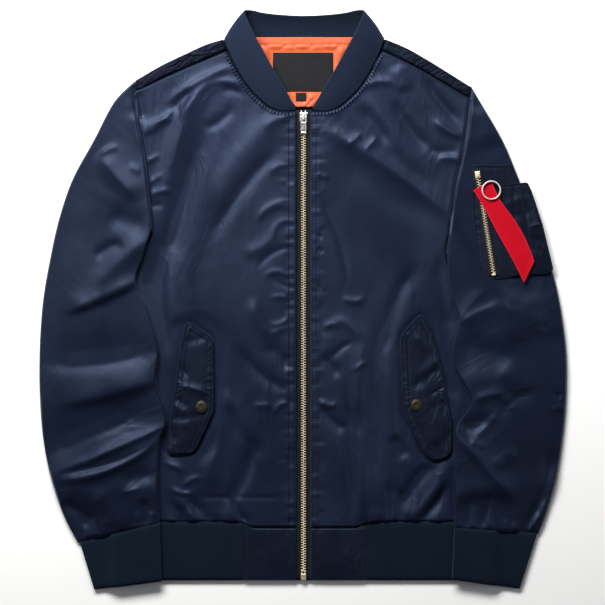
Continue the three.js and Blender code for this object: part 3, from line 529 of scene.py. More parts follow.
SLEEVE_FOLDS: dict[Side, tuple[Fold, ...]] = {
    Side.RIGHT: (
        Fold((-216, 250), (-201, 190), -3, 6, 1.8, 1.5),
        Fold((-206, 270), (-209, 228), 0, 8, -3.4, 1.6),
        Fold((-252, 181), (-230, 191), -2, 3, 1.6, 1.3),
        Fold((-252, 180), (-206, 128), 3, 13, 4.2, 1.7, -0.35),
        Fold((-216, 166), (-202, 160), 0, 4, 1.4, 1.4),
        Fold((-240, 106), (-196, 92), 0, 13, -2.8),
        Fold((-226, 72), (-258, 54), 2, 5, -2.2, 1.6),
        Fold((-206, 24), (-294, -14), -2, 9, 4.6, 1.7, 0.5),
        Fold((-190, 78), (-262, 14), 2, 12, 3.4, 1.8),
        Fold((-182, -60), (-322, -78), -6, 26, -4.4, 1.8, 0.5),
        Fold((-182, -98), (-300, -128), -3, 13, 4.0, 1.7, 0.4),
        Fold((-196, -140), (-318, -192), 4, 22, -4.4, 1.8, 0.4),
        Fold((-170, -155), (-308, -215), -2, 6, 3.4, 1.4, 0.3),
        Fold((-184, -176), (-300, -214), -8, 4, -1.8, 1.5),
        Fold((-176, -168), (-308, -224), -14, 8, 4.4, 1.5, 0.3),
        Fold((-186, -214), (-222, -226), 0, 9, -2.2),
        Fold((-224, -239), (-203, -233), 0, 2.6, 1.4, 1.2),
        Fold((-262, -238), (-226, -286), -4, 14, 2.6),
        Fold((-300, -252), (-258, -284), -4, 9, -2.8, 1.8),
        Fold((-198, -248), (-196, -282), 0, 7, -2.6, 1.6),
        Fold((-268, -300), (-274, -280), 0, 4, 2.0, 1.3),
        Fold((-256, -298), (-262, -272), 0, 3, 1.6, 1.3),
        Fold((-243, -296), (-245, -270), 0, 3.5, 1.7, 1.3),
        Fold((-208, -286), (-206, -262), 0, 3, 1.8, 1.3),
        Fold((-188, -282), (-188, -262), 0, 4, 1.8, 1.4),
    ),
    Side.LEFT: (
        Fold((214, 240), (236, 188), -6, 13, 2.0),
        Fold((192, -28), (228, 14), -3, 10, 1.8, 1.6),
        Fold((196, -28), (246, -5), -3, 10, 3.0, 1.5, 0.4),
        Fold((240, -4), (318, -36), -3, 12, 2.8, 1.6, 0.4),
        Fold((192, -58), (256, -76), -4, 24, -3.2, 1.7, 0.3),
        Fold((250, -74), (318, -40), -3, 24, -3.0, 1.7, 0.3),
        Fold((304, -24), (300, -36), 0, 6, -1.6, 1.8),
        Fold((196, -100), (286, -92), -3, 16, 2.4),
        Fold((214, -124), (250, -116), -3, 8, 2.8, 1.5),
        Fold((252, -118), (262, -138), 0, 5, 1.6, 1.5),
        Fold((194, -164), (236, -150), -2, 13, -4.2, 1.7),
        Fold((234, -152), (290, -112), -6, 9, -2.6, 1.6),
        Fold((250, -128), (216, -168), -2, 5, 2.4, 1.5),
        Fold((188, -162), (256, -243), 0, 9, 4.0, 1.6, -0.3),
        Fold((208, -174), (228, -184), 0, 2.6, 1.5, 1.2),
        Fold((236, -206), (262, -184), 2, 9, 1.8),
        Fold((194, -256), (262, -262), -8, 20, -3.6, 2.0, 0.3),
        Fold((308, -192), (276, -290), -6, 8, -3.2, 1.7),
        Fold((302, -250), (284, -284), -2, 3.5, 2.2, 1.3),
        Fold((292, -264), (280, -290), -1, 3, 1.8, 1.3),
        Fold((326, -132), (310, -136), 0, 2.6, 1.6, 1.2),
        Fold((322, -120), (312, -116), 0, 3.5, -1.6, 1.4),
        Fold((230, -244), (222, -284), 0, 3.5, -2.2, 1.5),
        Fold((238, -246), (232, -286), 0, 3, 2.0, 1.3),
        Fold((214, -256), (212, -284), 0, 3, 1.8, 1.3),
        Fold((252, -272), (252, -290), 0, 3, 1.5, 1.3),
        Fold((264, -276), (262, -291), 0, 3, 1.6, 1.3),
    ),
}

FLAP_FOLDS: dict[Side, tuple[Fold, ...]] = {
    Side.RIGHT: (
        Fold((-150, -52), (-120, -46), 0, 5, -1.6, 1.6),
        Fold((-158, -80), (-142, -94), 0, 4, -1.8, 1.5),
        Fold((-157, -106), (-118, -116), -2, 5, 2.6, 1.5),
        Fold((-162, -116), (-140, -132), 3, 4, -2.0, 1.5),
        Fold((-166, -128), (-146, -142), -2, 4, 1.8, 1.5),
        Fold((-168, -148), (-124, -143), 0, 4, -1.8, 1.5),
        Fold((-162, -152), (-142, -154), 0, 3, 1.4, 1.4),
        Fold((-170, -154), (-158, -176), 0, 4, -2.2, 1.5),
        Fold((-178, -176), (-150, -192), 3, 4, 1.8, 1.4),
    ),
    Side.LEFT: (
        Fold((170, -72), (146, -98), 2, 6, 2.2, 1.5),
        Fold((172, -84), (136, -110), 2, 5, -2.4, 1.5),
        Fold((178, -106), (150, -122), 0, 2.4, -1.4, 1.3),
        Fold((180, -124), (156, -136), 0, 2.4, -1.2, 1.3),
        Fold((180, -122), (172, -144), 0, 3, -1.6, 1.4),
        Fold((188, -164), (162, -188), 0, 8, -2.2, 1.7),
        Fold((168, -140), (160, -182), 0, 9, 1.6),
        Fold((140, -44), (158, -62), 0, 5, 1.4, 1.5),
    ),
}

# The collar's half, outward from its middle line, from the zip round to the centre back: where its
# seam lies and where its free edge stands.
COLLAR_X = 1.5
COLLAR_SEAM = (
    (11, 237.5, 4.9), (28, 237, 4.9), (42, 241.5, 4.9), (53, 250, 5), (64, 260.5, 5.1),
    (73.5, 272.5, 5.3), (83, 288, 5.6), (90.5, 303, 6), (96.5, 317, 6.4), (98.5, 327, 4.6),
    (89, 330.5, 2.6), (74, 330, 1.9), (50, 329.5, 1.9), (25, 329, 1.9), (0, 328.8, 1.9),
)
COLLAR_EDGE = (
    (10.2, 241.5, 6.3), (17, 251, 9.5), (23, 262, 14), (30.5, 274, 17.5), (39, 288, 20),
    (46, 301, 22), (54, 315, 23.5), (61.5, 329, 24.5), (69, 345, 24.5), (73, 358.5, 24),
    (66, 359.8, 21), (52, 357, 19), (35, 355, 17.8), (17, 353.8, 17.2), (0, 353.3, 17),
)


@dataclass(frozen=True)
class FlapCut:
    """One pocket flap: its outline, the middle of the flat ground under it and its snap."""

    outline: tuple[Place2, ...]
    ground: tuple[Place2, Place2]
    snap: Place2


FLAPS: dict[Side, FlapCut] = {
    Side.RIGHT: FlapCut(
        outline=(
            (-144, -25), (-112, -46), (-111, -137), (-135, -189), (-171, -192), (-165, -151),
            (-155, -81), (-149, -40),
        ),
        ground=((-134, -56), (-143, -166)),
        snap=(-126.5, -132),
    ),
    Side.LEFT: FlapCut(
        outline=(
            (147, -15), (121, -44), (125.5, -140), (150, -191), (163, -200), (184, -193),
            (185.5, -157), (170, -72), (159, -34),
        ),
        ground=((140, -48), (158, -168)),
        snap=(141, -130),
    ),
}


def neck_edge(sign: int) -> list[Place2]:
    """Lays out the neck edge of a front.

    Args:
        sign: Which half.

    Returns:
        The front's neck edge, just outside the collar's seam.
    """
    line = []
    for seam, edge in zip(COLLAR_SEAM[:8], COLLAR_EDGE[:8]):
        out = np.array(seam[:2]) - edge[:2]
        out = np.array(seam[:2]) + out / np.linalg.norm(out) * 1.4
        line.append((COLLAR_X + sign * out[0], out[1]))
    return line


# ---------------------------------------------------------------------------------------------
# Finishes
# ---------------------------------------------------------------------------------------------


class Board:
    """A node tree as it is wired."""

    def __init__(self, tree: bpy.types.NodeTree) -> None:
        """Args: tree: the tree that the nodes go into."""
        self.tree = tree

    def node(self, kind: str, inputs: dict | None = None, **settings: object) -> bpy.types.Node:
        """Adds a node.

        Args:
            kind: Its Blender type.
            inputs: Values or sockets for its inputs, by name or number.
            settings: Values for its properties.

        Returns:
            The node.
        """
        made = self.tree.nodes.new(kind)
        for name, value in settings.items():
            setattr(made, name, value)
        for name, value in (inputs or {}).items():
            if isinstance(value, bpy.types.NodeSocket):
                self.tree.links.new(value, made.inputs[name])
            else:
                made.inputs[name].default_value = value
        return made

    def sum(self, operation: str, *values: object, clamp: bool = False) -> bpy.types.NodeSocket:
        """Args: operation: of a Math node. values: its inputs. Returns: its value."""
        inputs = dict(enumerate(values))
        return self.node("ShaderNodeMath", inputs, operation=operation, use_clamp=clamp).outputs[0]

    def blend(self, share: object, first: object, second: object) -> bpy.types.NodeSocket:
        """Args: share: of the second. first, second: colours. Returns: the colour between."""
        mixed = self.node("ShaderNodeMix", {0: share, 6: first, 7: second}, data_type="RGBA")
        return mixed.outputs[2]

    def bump(self, height: object, depth: float, under: object = None) -> bpy.types.NodeSocket:
        """Bumps a normal by a height.

        Args:
            height: 0 to 1.
            depth: In metres.
            under: A normal.

        Returns:
            The bumped normal.
        """
        inputs = {"Height": height, "Distance": depth, "Strength": 1.0}
        if under is not None:
            inputs["Normal"] = under
        return self.node("ShaderNodeBump", inputs).outputs[0]


class Effects:
    """Surface effects that several finishes share, each built once as a node group."""

    def __init__(self) -> None:
        """Starts with none built."""
        self.built: dict[str, bpy.types.NodeTree] = {}

    def start(self, name: str, numbers: dict[str, float], outputs: Sequence[str]) -> tuple:
        """Begins a group.

        Args:
            name: What it is called.
            numbers: Its number inputs beside Vector, with their usual values.
            outputs: Names of the values that it puts out.

        Returns:
            Its board, its input node and its output node.
        """
        tree = bpy.data.node_groups.new(name, "ShaderNodeTree")
        tree.interface.new_socket("Vector", in_out="INPUT", socket_type="NodeSocketVector")
        for label, value in numbers.items():
            made = tree.interface.new_socket(label, in_out="INPUT", socket_type="NodeSocketFloat")
            made.default_value = value
        for label in outputs:
            tree.interface.new_socket(label, in_out="OUTPUT", socket_type="NodeSocketFloat")
        board = Board(tree)
        self.built[name] = tree
        return board, board.node("NodeGroupInput").outputs, board.node("NodeGroupOutput").inputs

    def place(self, board: Board, name: str, inputs: dict) -> bpy.types.bpy_prop_collection:
        """Puts a group into a material.

        Args:
            board: The material's board.
            name: The group's name.
            inputs: Its inputs there.

        Returns:
            The outputs of the group node.
        """
        if name not in self.built:
            getattr(self, name)()
        group = board.node("ShaderNodeGroup", node_tree=self.built[name])
        for label, value in inputs.items():
            if isinstance(value, bpy.types.NodeSocket):
                board.tree.links.new(value, group.inputs[label])
            else:
                group.inputs[label].default_value = value
        return group.outputs

    def crinkle(self) -> None:
        """Creases of thin cloth that are too fine to list one by one."""
        board, given, gives = self.start(
            "crinkle", {"Size": 0.02, "Stretch": 0.4, "Sharpness": 1.4}, ["Height", "Mask"]
        )
        per = board.sum("DIVIDE", 1.0, given["Size"])
        slim = board.sum("MULTIPLY", per, given["Stretch"])
        grid = board.node("ShaderNodeCombineXYZ", {0: per, 1: slim, 2: per}).outputs[0]
        at = board.node(
            "ShaderNodeVectorMath", {0: given["Vector"], 1: grid}, operation="MULTIPLY"
        ).outputs[0]
        drift = board.node("ShaderNodeTexNoise", {"Vector": at, "Scale": 0.55, "Detail": 1.0})
        shove = board.node(
            "ShaderNodeVectorMath",
            {0: drift.outputs["Color"], 1: (2.2, 2.2, 2.2)},
            operation="MULTIPLY",
        ).outputs[0]
        bent = board.node("ShaderNodeVectorMath", {0: at, 1: shove}, operation="ADD").outputs[0]
        fine = board.node(
            "ShaderNodeTexNoise", {"Vector": bent, "Scale": 1.0, "Detail": 2.5, "Roughness": 0.5}
        )
        off = board.sum("ABSOLUTE", board.sum("SUBTRACT", fine.outputs["Fac"], 0.5))
        ridge = board.sum("SUBTRACT", 1.0, board.sum("MULTIPLY", off, 4.0), clamp=True)
        sharp = board.sum("POWER", ridge, given["Sharpness"])
        patch = board.node("ShaderNodeTexNoise", {"Vector": at, "Scale": 0.22, "Detail": 1.0})
        where = board.node(
            "ShaderNodeMapRange",
            {"Value": patch.outputs["Fac"], "From Min": 0.42, "From Max": 0.62},
            interpolation_type="SMOOTHSTEP",
        ).outputs[0]
        soft = board.sum("MULTIPLY", fine.outputs["Fac"], 0.8)
        board.tree.links.new(
            board.sum("ADD", board.sum("MULTIPLY", sharp, where), soft), gives["Height"]
        )
        board.tree.links.new(where, gives["Mask"])

    def weave(self) -> None:
        """Plain weave: threads over and under."""
        board, given, gives = self.start("weave", {"Threads": 2500.0}, ["Height", "Mask"])
        turns = board.sum("MULTIPLY", given["Threads"], math.tau / 2)
        parts = board.node("ShaderNodeSeparateXYZ", {0: given["Vector"]}).outputs
        across = board.sum("SINE", board.sum("MULTIPLY", parts[0], turns))
        up = board.sum("SINE", board.sum("MULTIPLY", parts[1], turns))
        over = board.sum("MULTIPLY", across, up)
        board.tree.links.new(
            board.sum("MULTIPLY_ADD", over, 0.5, 0.5), gives["Height"]
        )
        board.tree.links.new(board.sum("GREATER_THAN", over, 0.0), gives["Mask"])

    def knit(self) -> None:
        """Stitches of a rib knit: chevrons up each wale, and the hollow between two wales."""
        board, given, gives = self.start(
            "knit", {"Wale": 0.0026, "Course": 0.0017}, ["Height", "Mask"]
        )
        parts = board.node("ShaderNodeSeparateXYZ", {0: given["Vector"]}).outputs
        wale = board.sum("FRACT", board.sum("DIVIDE", parts[0], given["Wale"]))
        aside = board.sum("ABSOLUTE", board.sum("SUBTRACT", wale, 0.5))
        course = board.sum("DIVIDE", parts[1], given["Course"])
        leg = board.sum("MULTIPLY_ADD", aside, 1.3, course)
        loop = board.sum("SINE", board.sum("MULTIPLY", leg, math.tau))
        crown = board.sum("SUBTRACT", 1.0, board.sum("POWER", board.sum("MULTIPLY", aside, 2), 2.5))
        board.tree.links.new(
            board.sum("MULTIPLY_ADD", loop, 0.18, board.sum("MULTIPLY", crown, 0.8)),
            gives["Height"],
        )
        board.tree.links.new(crown, gives["Mask"])

    def mottle(self) -> None:
        """Soft uneven patches, for tone and gloss."""
        board, given, gives = self.start("mottle", {"Patch": 0.05, "Contrast": 1.0}, ["Mask"])
        scale = board.sum("DIVIDE", 1.0, given["Patch"])
        tex = board.node(
            "ShaderNodeTexNoise", {"Vector": given["Vector"], "Scale": scale, "Detail": 4.0}
        )
        off = board.sum("SUBTRACT", tex.outputs["Fac"], 0.5)
        wide = board.sum("MULTIPLY", off, given["Contrast"])
        board.tree.links.new(board.sum("MULTIPLY_ADD", wide, 2.0, 0.5, clamp=True), gives["Mask"])


EFFECTS = Effects()


class Finish:
    """What a piece's surface is made of."""

    name: str

    def material(self) -> bpy.types.Material:
        """Returns: the finish's material, made the first time that it is asked for."""
        found = bpy.data.materials.get(self.name)
        if found:
            return found
        made = bpy.data.materials.new(self.name)
        made.use_nodes = True
        made.node_tree.nodes.clear()
        board = Board(made.node_tree)
        shader = board.node("ShaderNodeBsdfPrincipled")
        board.node("ShaderNodeOutputMaterial", {"Surface": shader.outputs[0]})
        self.wire(board, shader)
        return made

    def wire(self, board: Board, shader: bpy.types.Node) -> None:
        """Args: board: the material's. shader: its shader, which this sets up."""
        raise NotImplementedError


def set_up(shader: bpy.types.Node, board: Board, values: dict) -> None:
    """Sets the shader's sockets, from numbers and colours or by links.

    Args:
        shader: To set.
        board: Its board.
        values: Numbers, colours or sockets by input.
    """
    for label, value in values.items():
        if isinstance(value, bpy.types.NodeSocket):
            board.tree.links.new(value, shader.inputs[label])
        else:
            shader.inputs[label].default_value = value


@dataclass(frozen=True)
class Satin(Finish):
    """Fine shiny cloth, such as nylon.

    Attributes:
        name: The material's name.
        deep: Its colour in the hollows of the weave, darker there as painted shade.
        bright: Its colour on the threads.
        rough: Roughness.
        crease: Size of the finest creases, in metres.
        depth: Their depth, in metres.
        turn: Their angle from upright.
        sheen: Weight of the soft shine toward the sides.
        threads: Threads for each metre.
        gloss: How much it reflects.
    """

    name: str
    deep: Colour
    bright: Colour
    rough: float = 0.47
    crease: float = 0.022
    depth: float = 0.0011
    turn: float = 0.0
    sheen: float = 0.1
    threads: float = 2600.0
    gloss: float = 0.36

    def wire(self, board: Board, shader: bpy.types.Node) -> None:
        """Wires up the shell's weave, creases and sheen, with painted shade in the weave's hollows.

        Args:
            board: The material's.
            shader: Its shader, which this sets up.
        """
        at = board.node("ShaderNodeTexCoord").outputs["Object"]
        turned = board.node(
            "ShaderNodeMapping", {"Vector": at, "Rotation": (0, 0, math.radians(self.turn))}
        ).outputs[0]
        crinkle = EFFECTS.place(board, "crinkle", {"Vector": turned, "Size": self.crease})
        weave = EFFECTS.place(board, "weave", {"Vector": at, "Threads": self.threads})
        mottle = EFFECTS.place(board, "mottle", {"Vector": at, "Patch": 0.07})["Mask"]
        # Colour lightens on the weave's raised half and darkens in its hollows: painted shade; the
        # mottle is uneven tone of the cloth.
        tone = board.sum("MULTIPLY_ADD", mottle, 0.6, board.sum("MULTIPLY", weave["Mask"], 0.4))
        normal = board.bump(weave["Height"], 0.00003, board.bump(crinkle["Height"], self.depth))
        set_up(
            shader,
            board,
            {
                "Base Color": board.blend(tone, self.deep, self.bright),
                "Roughness": board.sum("MULTIPLY_ADD", mottle, 0.14, self.rough - 0.07),
                "Normal": normal,
                "Sheen Weight": self.sheen,
                "Sheen Roughness": 0.35,
                "Sheen Tint": (0.42, 0.52, 1.0, 1.0),
                "Specular IOR Level": self.gloss,
                "Specular Tint": (0.48, 0.63, 1.0, 1.0),
                "Anisotropic": 0.25,
            },
        )


@dataclass(frozen=True)
class RibKnit(Finish):
    """Matte rib knit, whose stitches follow the piece's own cut."""

    name: str
    deep: Colour
    bright: Colour
    rough: float = 0.88
    gloss: float = 0.14

    def wire(self, board: Board, shader: bpy.types.Node) -> None:
        """Wires up the knit's wales and mottled tone, with painted shade in the hollows between the
        wales.

        Args:
            board: The material's.
            shader: Its shader, which this sets up.
        """
        cut = board.node("ShaderNodeUVMap", uv_map="cut").outputs[0]
        at = board.node("ShaderNodeTexCoord").outputs["Object"]
        knit = EFFECTS.place(board, "knit", {"Vector": cut, "Wale": WALE * MM})
        mottle = EFFECTS.place(board, "mottle", {"Vector": at, "Patch": 0.03})["Mask"]
        # Colour darkens from each wale's crown into the hollow between wales: painted shade; the
        # mottle is uneven tone of the yarn.
        tone = board.sum("MULTIPLY_ADD", knit["Mask"], 0.75, board.sum("MULTIPLY", mottle, 0.3))
        set_up(
            shader,
            board,
            {
                "Base Color": board.blend(tone, self.deep, self.bright),
                "Roughness": board.sum("MULTIPLY_ADD", mottle, 0.08, self.rough - 0.04),
                "Normal": board.bump(knit["Height"], 0.0003),
                "Sheen Weight": 0.1,
                "Sheen Roughness": 0.5,
                "Sheen Tint": (0.4, 0.6, 1.0, 1.0),
                "Specular IOR Level": self.gloss,
                "Specular Tint": (0.45, 0.66, 1.0, 1.0),
            },
        )


@dataclass(frozen=True)
class Webbing(Finish):
    """Woven tape, ribbon or label with threads that can be counted."""

    name: str
    deep: Colour
    bright: Colour
    rough: float = 0.8
    threads: float = 1100.0
    depth: float = 0.00012
    gloss: float = 0.22

    def wire(self, board: Board, shader: bpy.types.Node) -> None:
        """Wires up the webbing's threads, with painted shade where the weave dips.

        Args:
            board: The material's.
            shader: Its shader, which this sets up.
        """
        cut = board.node("ShaderNodeUVMap", uv_map="cut").outputs[0]
        weave = EFFECTS.place(board, "weave", {"Vector": cut, "Threads": self.threads})
        mottle = EFFECTS.place(board, "mottle", {"Vector": cut, "Patch": 0.012})["Mask"]
        # Colour darkens where the weave dips: painted shade; the mottle is uneven tone of the
        # threads.
        tone = board.sum("MULTIPLY_ADD", weave["Height"], 0.6, board.sum("MULTIPLY", mottle, 0.4))
        set_up(
            shader,
            board,
            {
                "Base Color": board.blend(tone, self.deep, self.bright),
                "Roughness": board.sum("MULTIPLY_ADD", mottle, 0.1, self.rough - 0.05),
                "Normal": board.bump(weave["Height"], self.depth),
                "Sheen Weight": 0.03,
                "Specular IOR Level": self.gloss,
            },
        )


@dataclass(frozen=True)
class Metal(Finish):
    """Plated or aged metal, duller and darker where it is worn or tarnished."""

    name: str
    bright: Colour
    tarnish: Colour
    rough: float = 0.25
    age: float = 0.5

    def wire(self, board: Board, shader: bpy.types.Node) -> None:
        """Wires up the metal and its tarnish.

        Args:
            board: The material's.
            shader: Its shader, which this sets up.
        """
        at = board.node("ShaderNodeTexCoord").outputs["Object"]
        spots = EFFECTS.place(
            board, "mottle", {"Vector": at, "Patch": 0.0035, "Contrast": 1.6}
        )["Mask"]
        share = board.sum("MULTIPLY", spots, self.age)
        set_up(
            shader,
            board,
            {
                "Base Color": board.blend(share, self.bright, self.tarnish),
                "Roughness": board.sum("MULTIPLY_ADD", spots, 0.2, self.rough),
                "Normal": board.bump(spots, 0.00004),
                "Metallic": 1.0,
            },
        )


NYLON = Satin(
    "navy_nylon", (0.0036, 0.0056, 0.0148, 1), (0.0078, 0.0119, 0.0305, 1), crease=0.03,
    depth=0.0006,
)
# The sleeves' copy of the navy nylon is darker and less glossy than the fronts': painted shade over
# the whole sleeves.
SHADED_SLEEVE_NYLON = Satin(
    "navy_nylon_sleeve_shaded", (0.0029, 0.0047, 0.0124, 1), (0.0063, 0.0099, 0.0250, 1), crease=0.034,
    depth=0.0006, turn=55, gloss=0.3,
)
# The back's copy of the navy nylon is much darker and duller than the fronts': painted shade, for
# the crinkled shoulder strips that the back rolls into.
SHADED_BACK_NYLON = Satin(
    "navy_nylon_back_shaded", (0.0015, 0.0022, 0.005, 1), (0.0035, 0.005, 0.011, 1), crease=0.010,
    depth=0.0018, turn=60, rough=0.55, sheen=0.03, gloss=0.12,
)
TRIM_NYLON = Satin(
    "navy_nylon_trim", (0.0024, 0.0038, 0.0095, 1), (0.0054, 0.0080, 0.019, 1), crease=0.014,
    depth=0.0004, turn=20, gloss=0.27,
)
POCKET_NYLON = Satin(
    "navy_nylon_pocket", (0.0018, 0.0028, 0.0068, 1), (0.0042, 0.0062, 0.0140, 1), crease=0.018,
    depth=0.0004, turn=20, gloss=0.27,
)
QUILT = Satin(
    "orange_taffeta", (0.46, 0.075, 0.017, 1), (0.62, 0.125, 0.036, 1), rough=0.5, crease=0.009,
    depth=0.0004, sheen=0.05,
)
RIB = RibKnit("navy_rib", (0.0015, 0.003, 0.0062, 1), (0.0048, 0.0088, 0.0165, 1))
# The stitches are real, but their near-black thread, far darker than the navy cloth, is painted
# shade of the stitch holes and grooves.
STITCH_SHADE_THREAD = Webbing(
    "thread_painted_stitch_shade", (0.0006, 0.0009, 0.0018, 1), (0.0018, 0.0025, 0.005, 1), gloss=0.03,
    threads=4000.0,
)
# The collar's copy of the rib knit is brighter and bluer than the cuffs' and hem's: painted light,
# where the collar faces the lamps.
LIT_COLLAR_RIB = RibKnit(
    "navy_rib_collar_lit", (0.0040, 0.0068, 0.0150, 1), (0.0125, 0.0185, 0.0385, 1), gloss=0.2
)
THREAD = Webbing("navy_thread", (0.004, 0.006, 0.014, 1), (0.010, 0.014, 0.03, 1), threads=4000.0)
ORANGE_THREAD = Webbing(
    "orange_thread", (0.24, 0.026, 0.006, 1), (0.36, 0.045, 0.012, 1), threads=4000.0
)
LABEL_CLOTH = Webbing(
    "charcoal_label", (0.0042, 0.0047, 0.0058, 1), (0.0085, 0.009, 0.0108, 1), threads=1700.0
)
TAPE = Webbing("navy_tape", (0.0012, 0.0018, 0.004, 1), (0.0042, 0.0058, 0.012, 1), threads=1300.0)
RED = Webbing(
    "red_webbing", (0.30, 0.0004, 0.006, 1), (0.56, 0.001, 0.014, 1), rough=0.7, gloss=0.08,
    threads=1500.0,
)
PINK_THREAD = Webbing(
    "ribbon_thread", (0.50, 0.012, 0.03, 1), (0.78, 0.04, 0.08, 1), gloss=0.1, threads=4000.0
)
BRASS = Metal("aged_brass", (0.98, 0.88, 0.66, 1), (0.60, 0.50, 0.32, 1), rough=0.40, age=0.4)
SILVER = Metal("nickel", (0.90, 0.89, 0.86, 1), (0.45, 0.44, 0.41, 1), rough=0.26, age=0.35)
WIRE = Metal("nickel_wire", (0.80, 0.77, 0.76, 1), (0.50, 0.47, 0.46, 1), rough=0.44, age=0.3)
DARK_BRASS = Metal("oxidised_brass", (0.060, 0.055, 0.038, 1), (0.02, 0.018, 0.014, 1), rough=0.5)


# ---------------------------------------------------------------------------------------------
# Making and dressing pieces
# ---------------------------------------------------------------------------------------------


def to_object(name: str, bm: bmesh.types.BMesh) -> bpy.types.Object:
    """Makes an object of a mesh.

    Args:
        name: The piece's name.
        bm: Its shape, which is freed.

    Returns:
        Its object.
    """
    mesh = bpy.data.meshes.new(name)
    bm.to_mesh(mesh)
    bm.free()
    made = bpy.data.objects.new(name, mesh)
    bpy.context.scene.collection.objects.link(made)
    return made


def face(mesh: bpy.types.Mesh, facing: Facing) -> None:
    """Turns a mesh's outside the right way.

    Args:
        mesh: The mesh.
        facing: Where its outside looks. AROUND is for tubes, pads and other closed forms.
    """
    count = len(mesh.polygons)
    normals, centres, areas = (np.zeros(count * size, np.float32) for size in (3, 3, 1))
    mesh.polygons.foreach_get("normal", normals)
    mesh.polygons.foreach_get("center", centres)
    mesh.polygons.foreach_get("area", areas)
    up = normals[2::3] * areas
    if facing is Facing.AROUND:
        height = centres[2::3] - centres[2::3].mean()
        outside = float((up * height).sum())
    else:
        outside = float(up.sum()) * (1 if facing is Facing.UP else -1)
    if outside < 0:
        mesh.flip_normals()


def cloth(
    name: str,
    columns: int,
    rows: int,
    place: Place,
    size: Place2,
    facing: Facing = Facing.UP,
    closed: bool = False,
) -> bpy.types.Object:
    """Cuts a piece of cloth as a flat grid and lays it in its place.

    Args:
        name: The piece's name.
        columns: Cells across.
        rows: Cells up.
        place: Gives the place of each point of the cut, in millimetres, from its shares across
            and up.
        size: Width and length of the cut, in metres, which its own map keeps.
        facing: Where its outside looks.
        closed: Whether edges that meet are joined.

    Returns:
        The piece.
    """
    bm = bmesh.new()
    bm.loops.layers.uv.new("cut")
    bmesh.ops.create_grid(bm, x_segments=columns, y_segments=rows, size=0.5, calc_uvs=True)
    piece = to_object(name, bm)
    mesh = piece.data
    spots = np.zeros(len(mesh.vertices) * 3, np.float32)
    mesh.vertices.foreach_get("co", spots)
    laid = place(spots[0::3].astype(float) + 0.5, spots[1::3].astype(float) + 0.5) * MM
    mesh.vertices.foreach_set("co", laid.astype(np.float32).ravel())
    uv = np.zeros(len(mesh.loops) * 2, np.float32)
    mesh.uv_layers["cut"].data.foreach_get("uv", uv)
    uv[0::2] *= size[0]
    uv[1::2] *= size[1]
    mesh.uv_layers["cut"].data.foreach_set("uv", uv)
    mesh.update()
    if closed:
        bm = bmesh.new()
        bm.from_mesh(mesh)
        bmesh.ops.remove_doubles(bm, verts=bm.verts[:], dist=2e-6)
        bm.to_mesh(mesh)
        bm.free()
    face(mesh, facing)
    mesh.shade_smooth()
    return piece


def thicken(piece: bpy.types.Object, thickness: float) -> None:
    """Gives a sheet its thickness.

    Args:
        piece: A sheet.
        thickness: Of its cloth, inward from its outside.
    """
    made = piece.modifiers.new("thickness", "SOLIDIFY")
    made.thickness = thickness * MM
    made.offset = -1
    made.use_rim = True


def dress(
    piece: bpy.types.Object,
    finish: Finish,
    nodes: Sequence[str] = (),
    body: str = "jacket",
) -> bpy.types.Object:
    """Gives a piece its finish and its place in the model.

    Args:
        piece: The piece.
        finish: What it is made of.
        nodes: The solids that it stands for.
        body: What it moves with.

    Returns:
        The piece.
    """
    piece.data.materials.append(finish.material())
    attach(piece, body)
    if nodes:
        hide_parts(*nodes)
    log.info("%s: %d faces", piece.name, len(piece.data.polygons))
    return piece


@dataclass(frozen=True)
class Needle:
    """Sews rows of stitches.

    Attributes:
        pitch: From one stitch to the next.
        length: Of a stitch.
        thread: Thickness of the thread.
        sunk: How deep its middle lies in the cloth.
    """

    pitch: float = 4.0
    length: float = 2.4
    thread: float = 1.1
    sunk: float = -0.05

    def sew(
        self, name: str, lines: Sequence[Run], onto: Sequence[bpy.types.Object], finish: Finish
    ) -> bpy.types.Object:
        """Sews stitches along lines on the cloth.

        Args:
            name: The piece's name.
            lines: Where they run.
            onto: The pieces that they lie on, seen from above.
            finish: The thread's.

        Returns:
            All the stitches as one piece.
        """
        graph = bpy.context.evaluated_depsgraph_get()
        trees = [BVHTree.FromObject(piece, graph) for piece in onto]
        bm = bmesh.new()
        bm.loops.layers.uv.new("cut")
        for line in lines:
            count = max(1, int(line.length / self.pitch))
            for i in range(count):
                middle = (i + 0.5) / count
                half = self.length / 2 / line.length
                ends = [self.drop(trees, line.at(middle + side * half)) for side in (-1, 1)]
                if None not in ends:
                    self.stitch(bm, *ends)
        piece = to_object(name, bm)
        piece.data.shade_smooth()
        dress(piece, finish)
        return piece

    def drop(self, trees: Sequence[BVHTree], at: np.ndarray) -> Vector | None:
        """Finds the cloth's top under a stitch.

        Args:
            trees: The cloth.
            at: A place.

        Returns:
            The cloth's top there, in metres.
        """
        above = Vector((at[0] * MM, at[1] * MM, 0.1))
        hits = [tree.ray_cast(above, Vector((0, 0, -1)))[0] for tree in trees]
        hits = [hit for hit in hits if hit is not None]
        if not hits:
            return None
        top = max(hits, key=lambda hit: hit.z)
        return top - Vector((0, 0, self.sunk * MM))

    def stitch(self, bm: bmesh.types.BMesh, start: Vector, end: Vector) -> None:
        """Adds one stitch.

        Args:
            bm: What the stitch is added to.
            start, end: The holes that it comes out of.
        """
        along = end - start
        length = max(along.length, 1e-5)
        turn = along.to_track_quat("X", "Z").to_matrix().to_4x4()
        scale = Matrix.Diagonal((length / 2, self.thread * MM / 2, self.thread * MM / 2.6, 1))
        bmesh.ops.create_icosphere(
            bm,
            subdivisions=1,
            radius=1.0,
            matrix=Matrix.Translation((start + end) / 2) @ turn @ scale,
            calc_uvs=False,
        )


NEEDLE = Needle()


# ---------------------------------------------------------------------------------------------
# Shell
# ---------------------------------------------------------------------------------------------


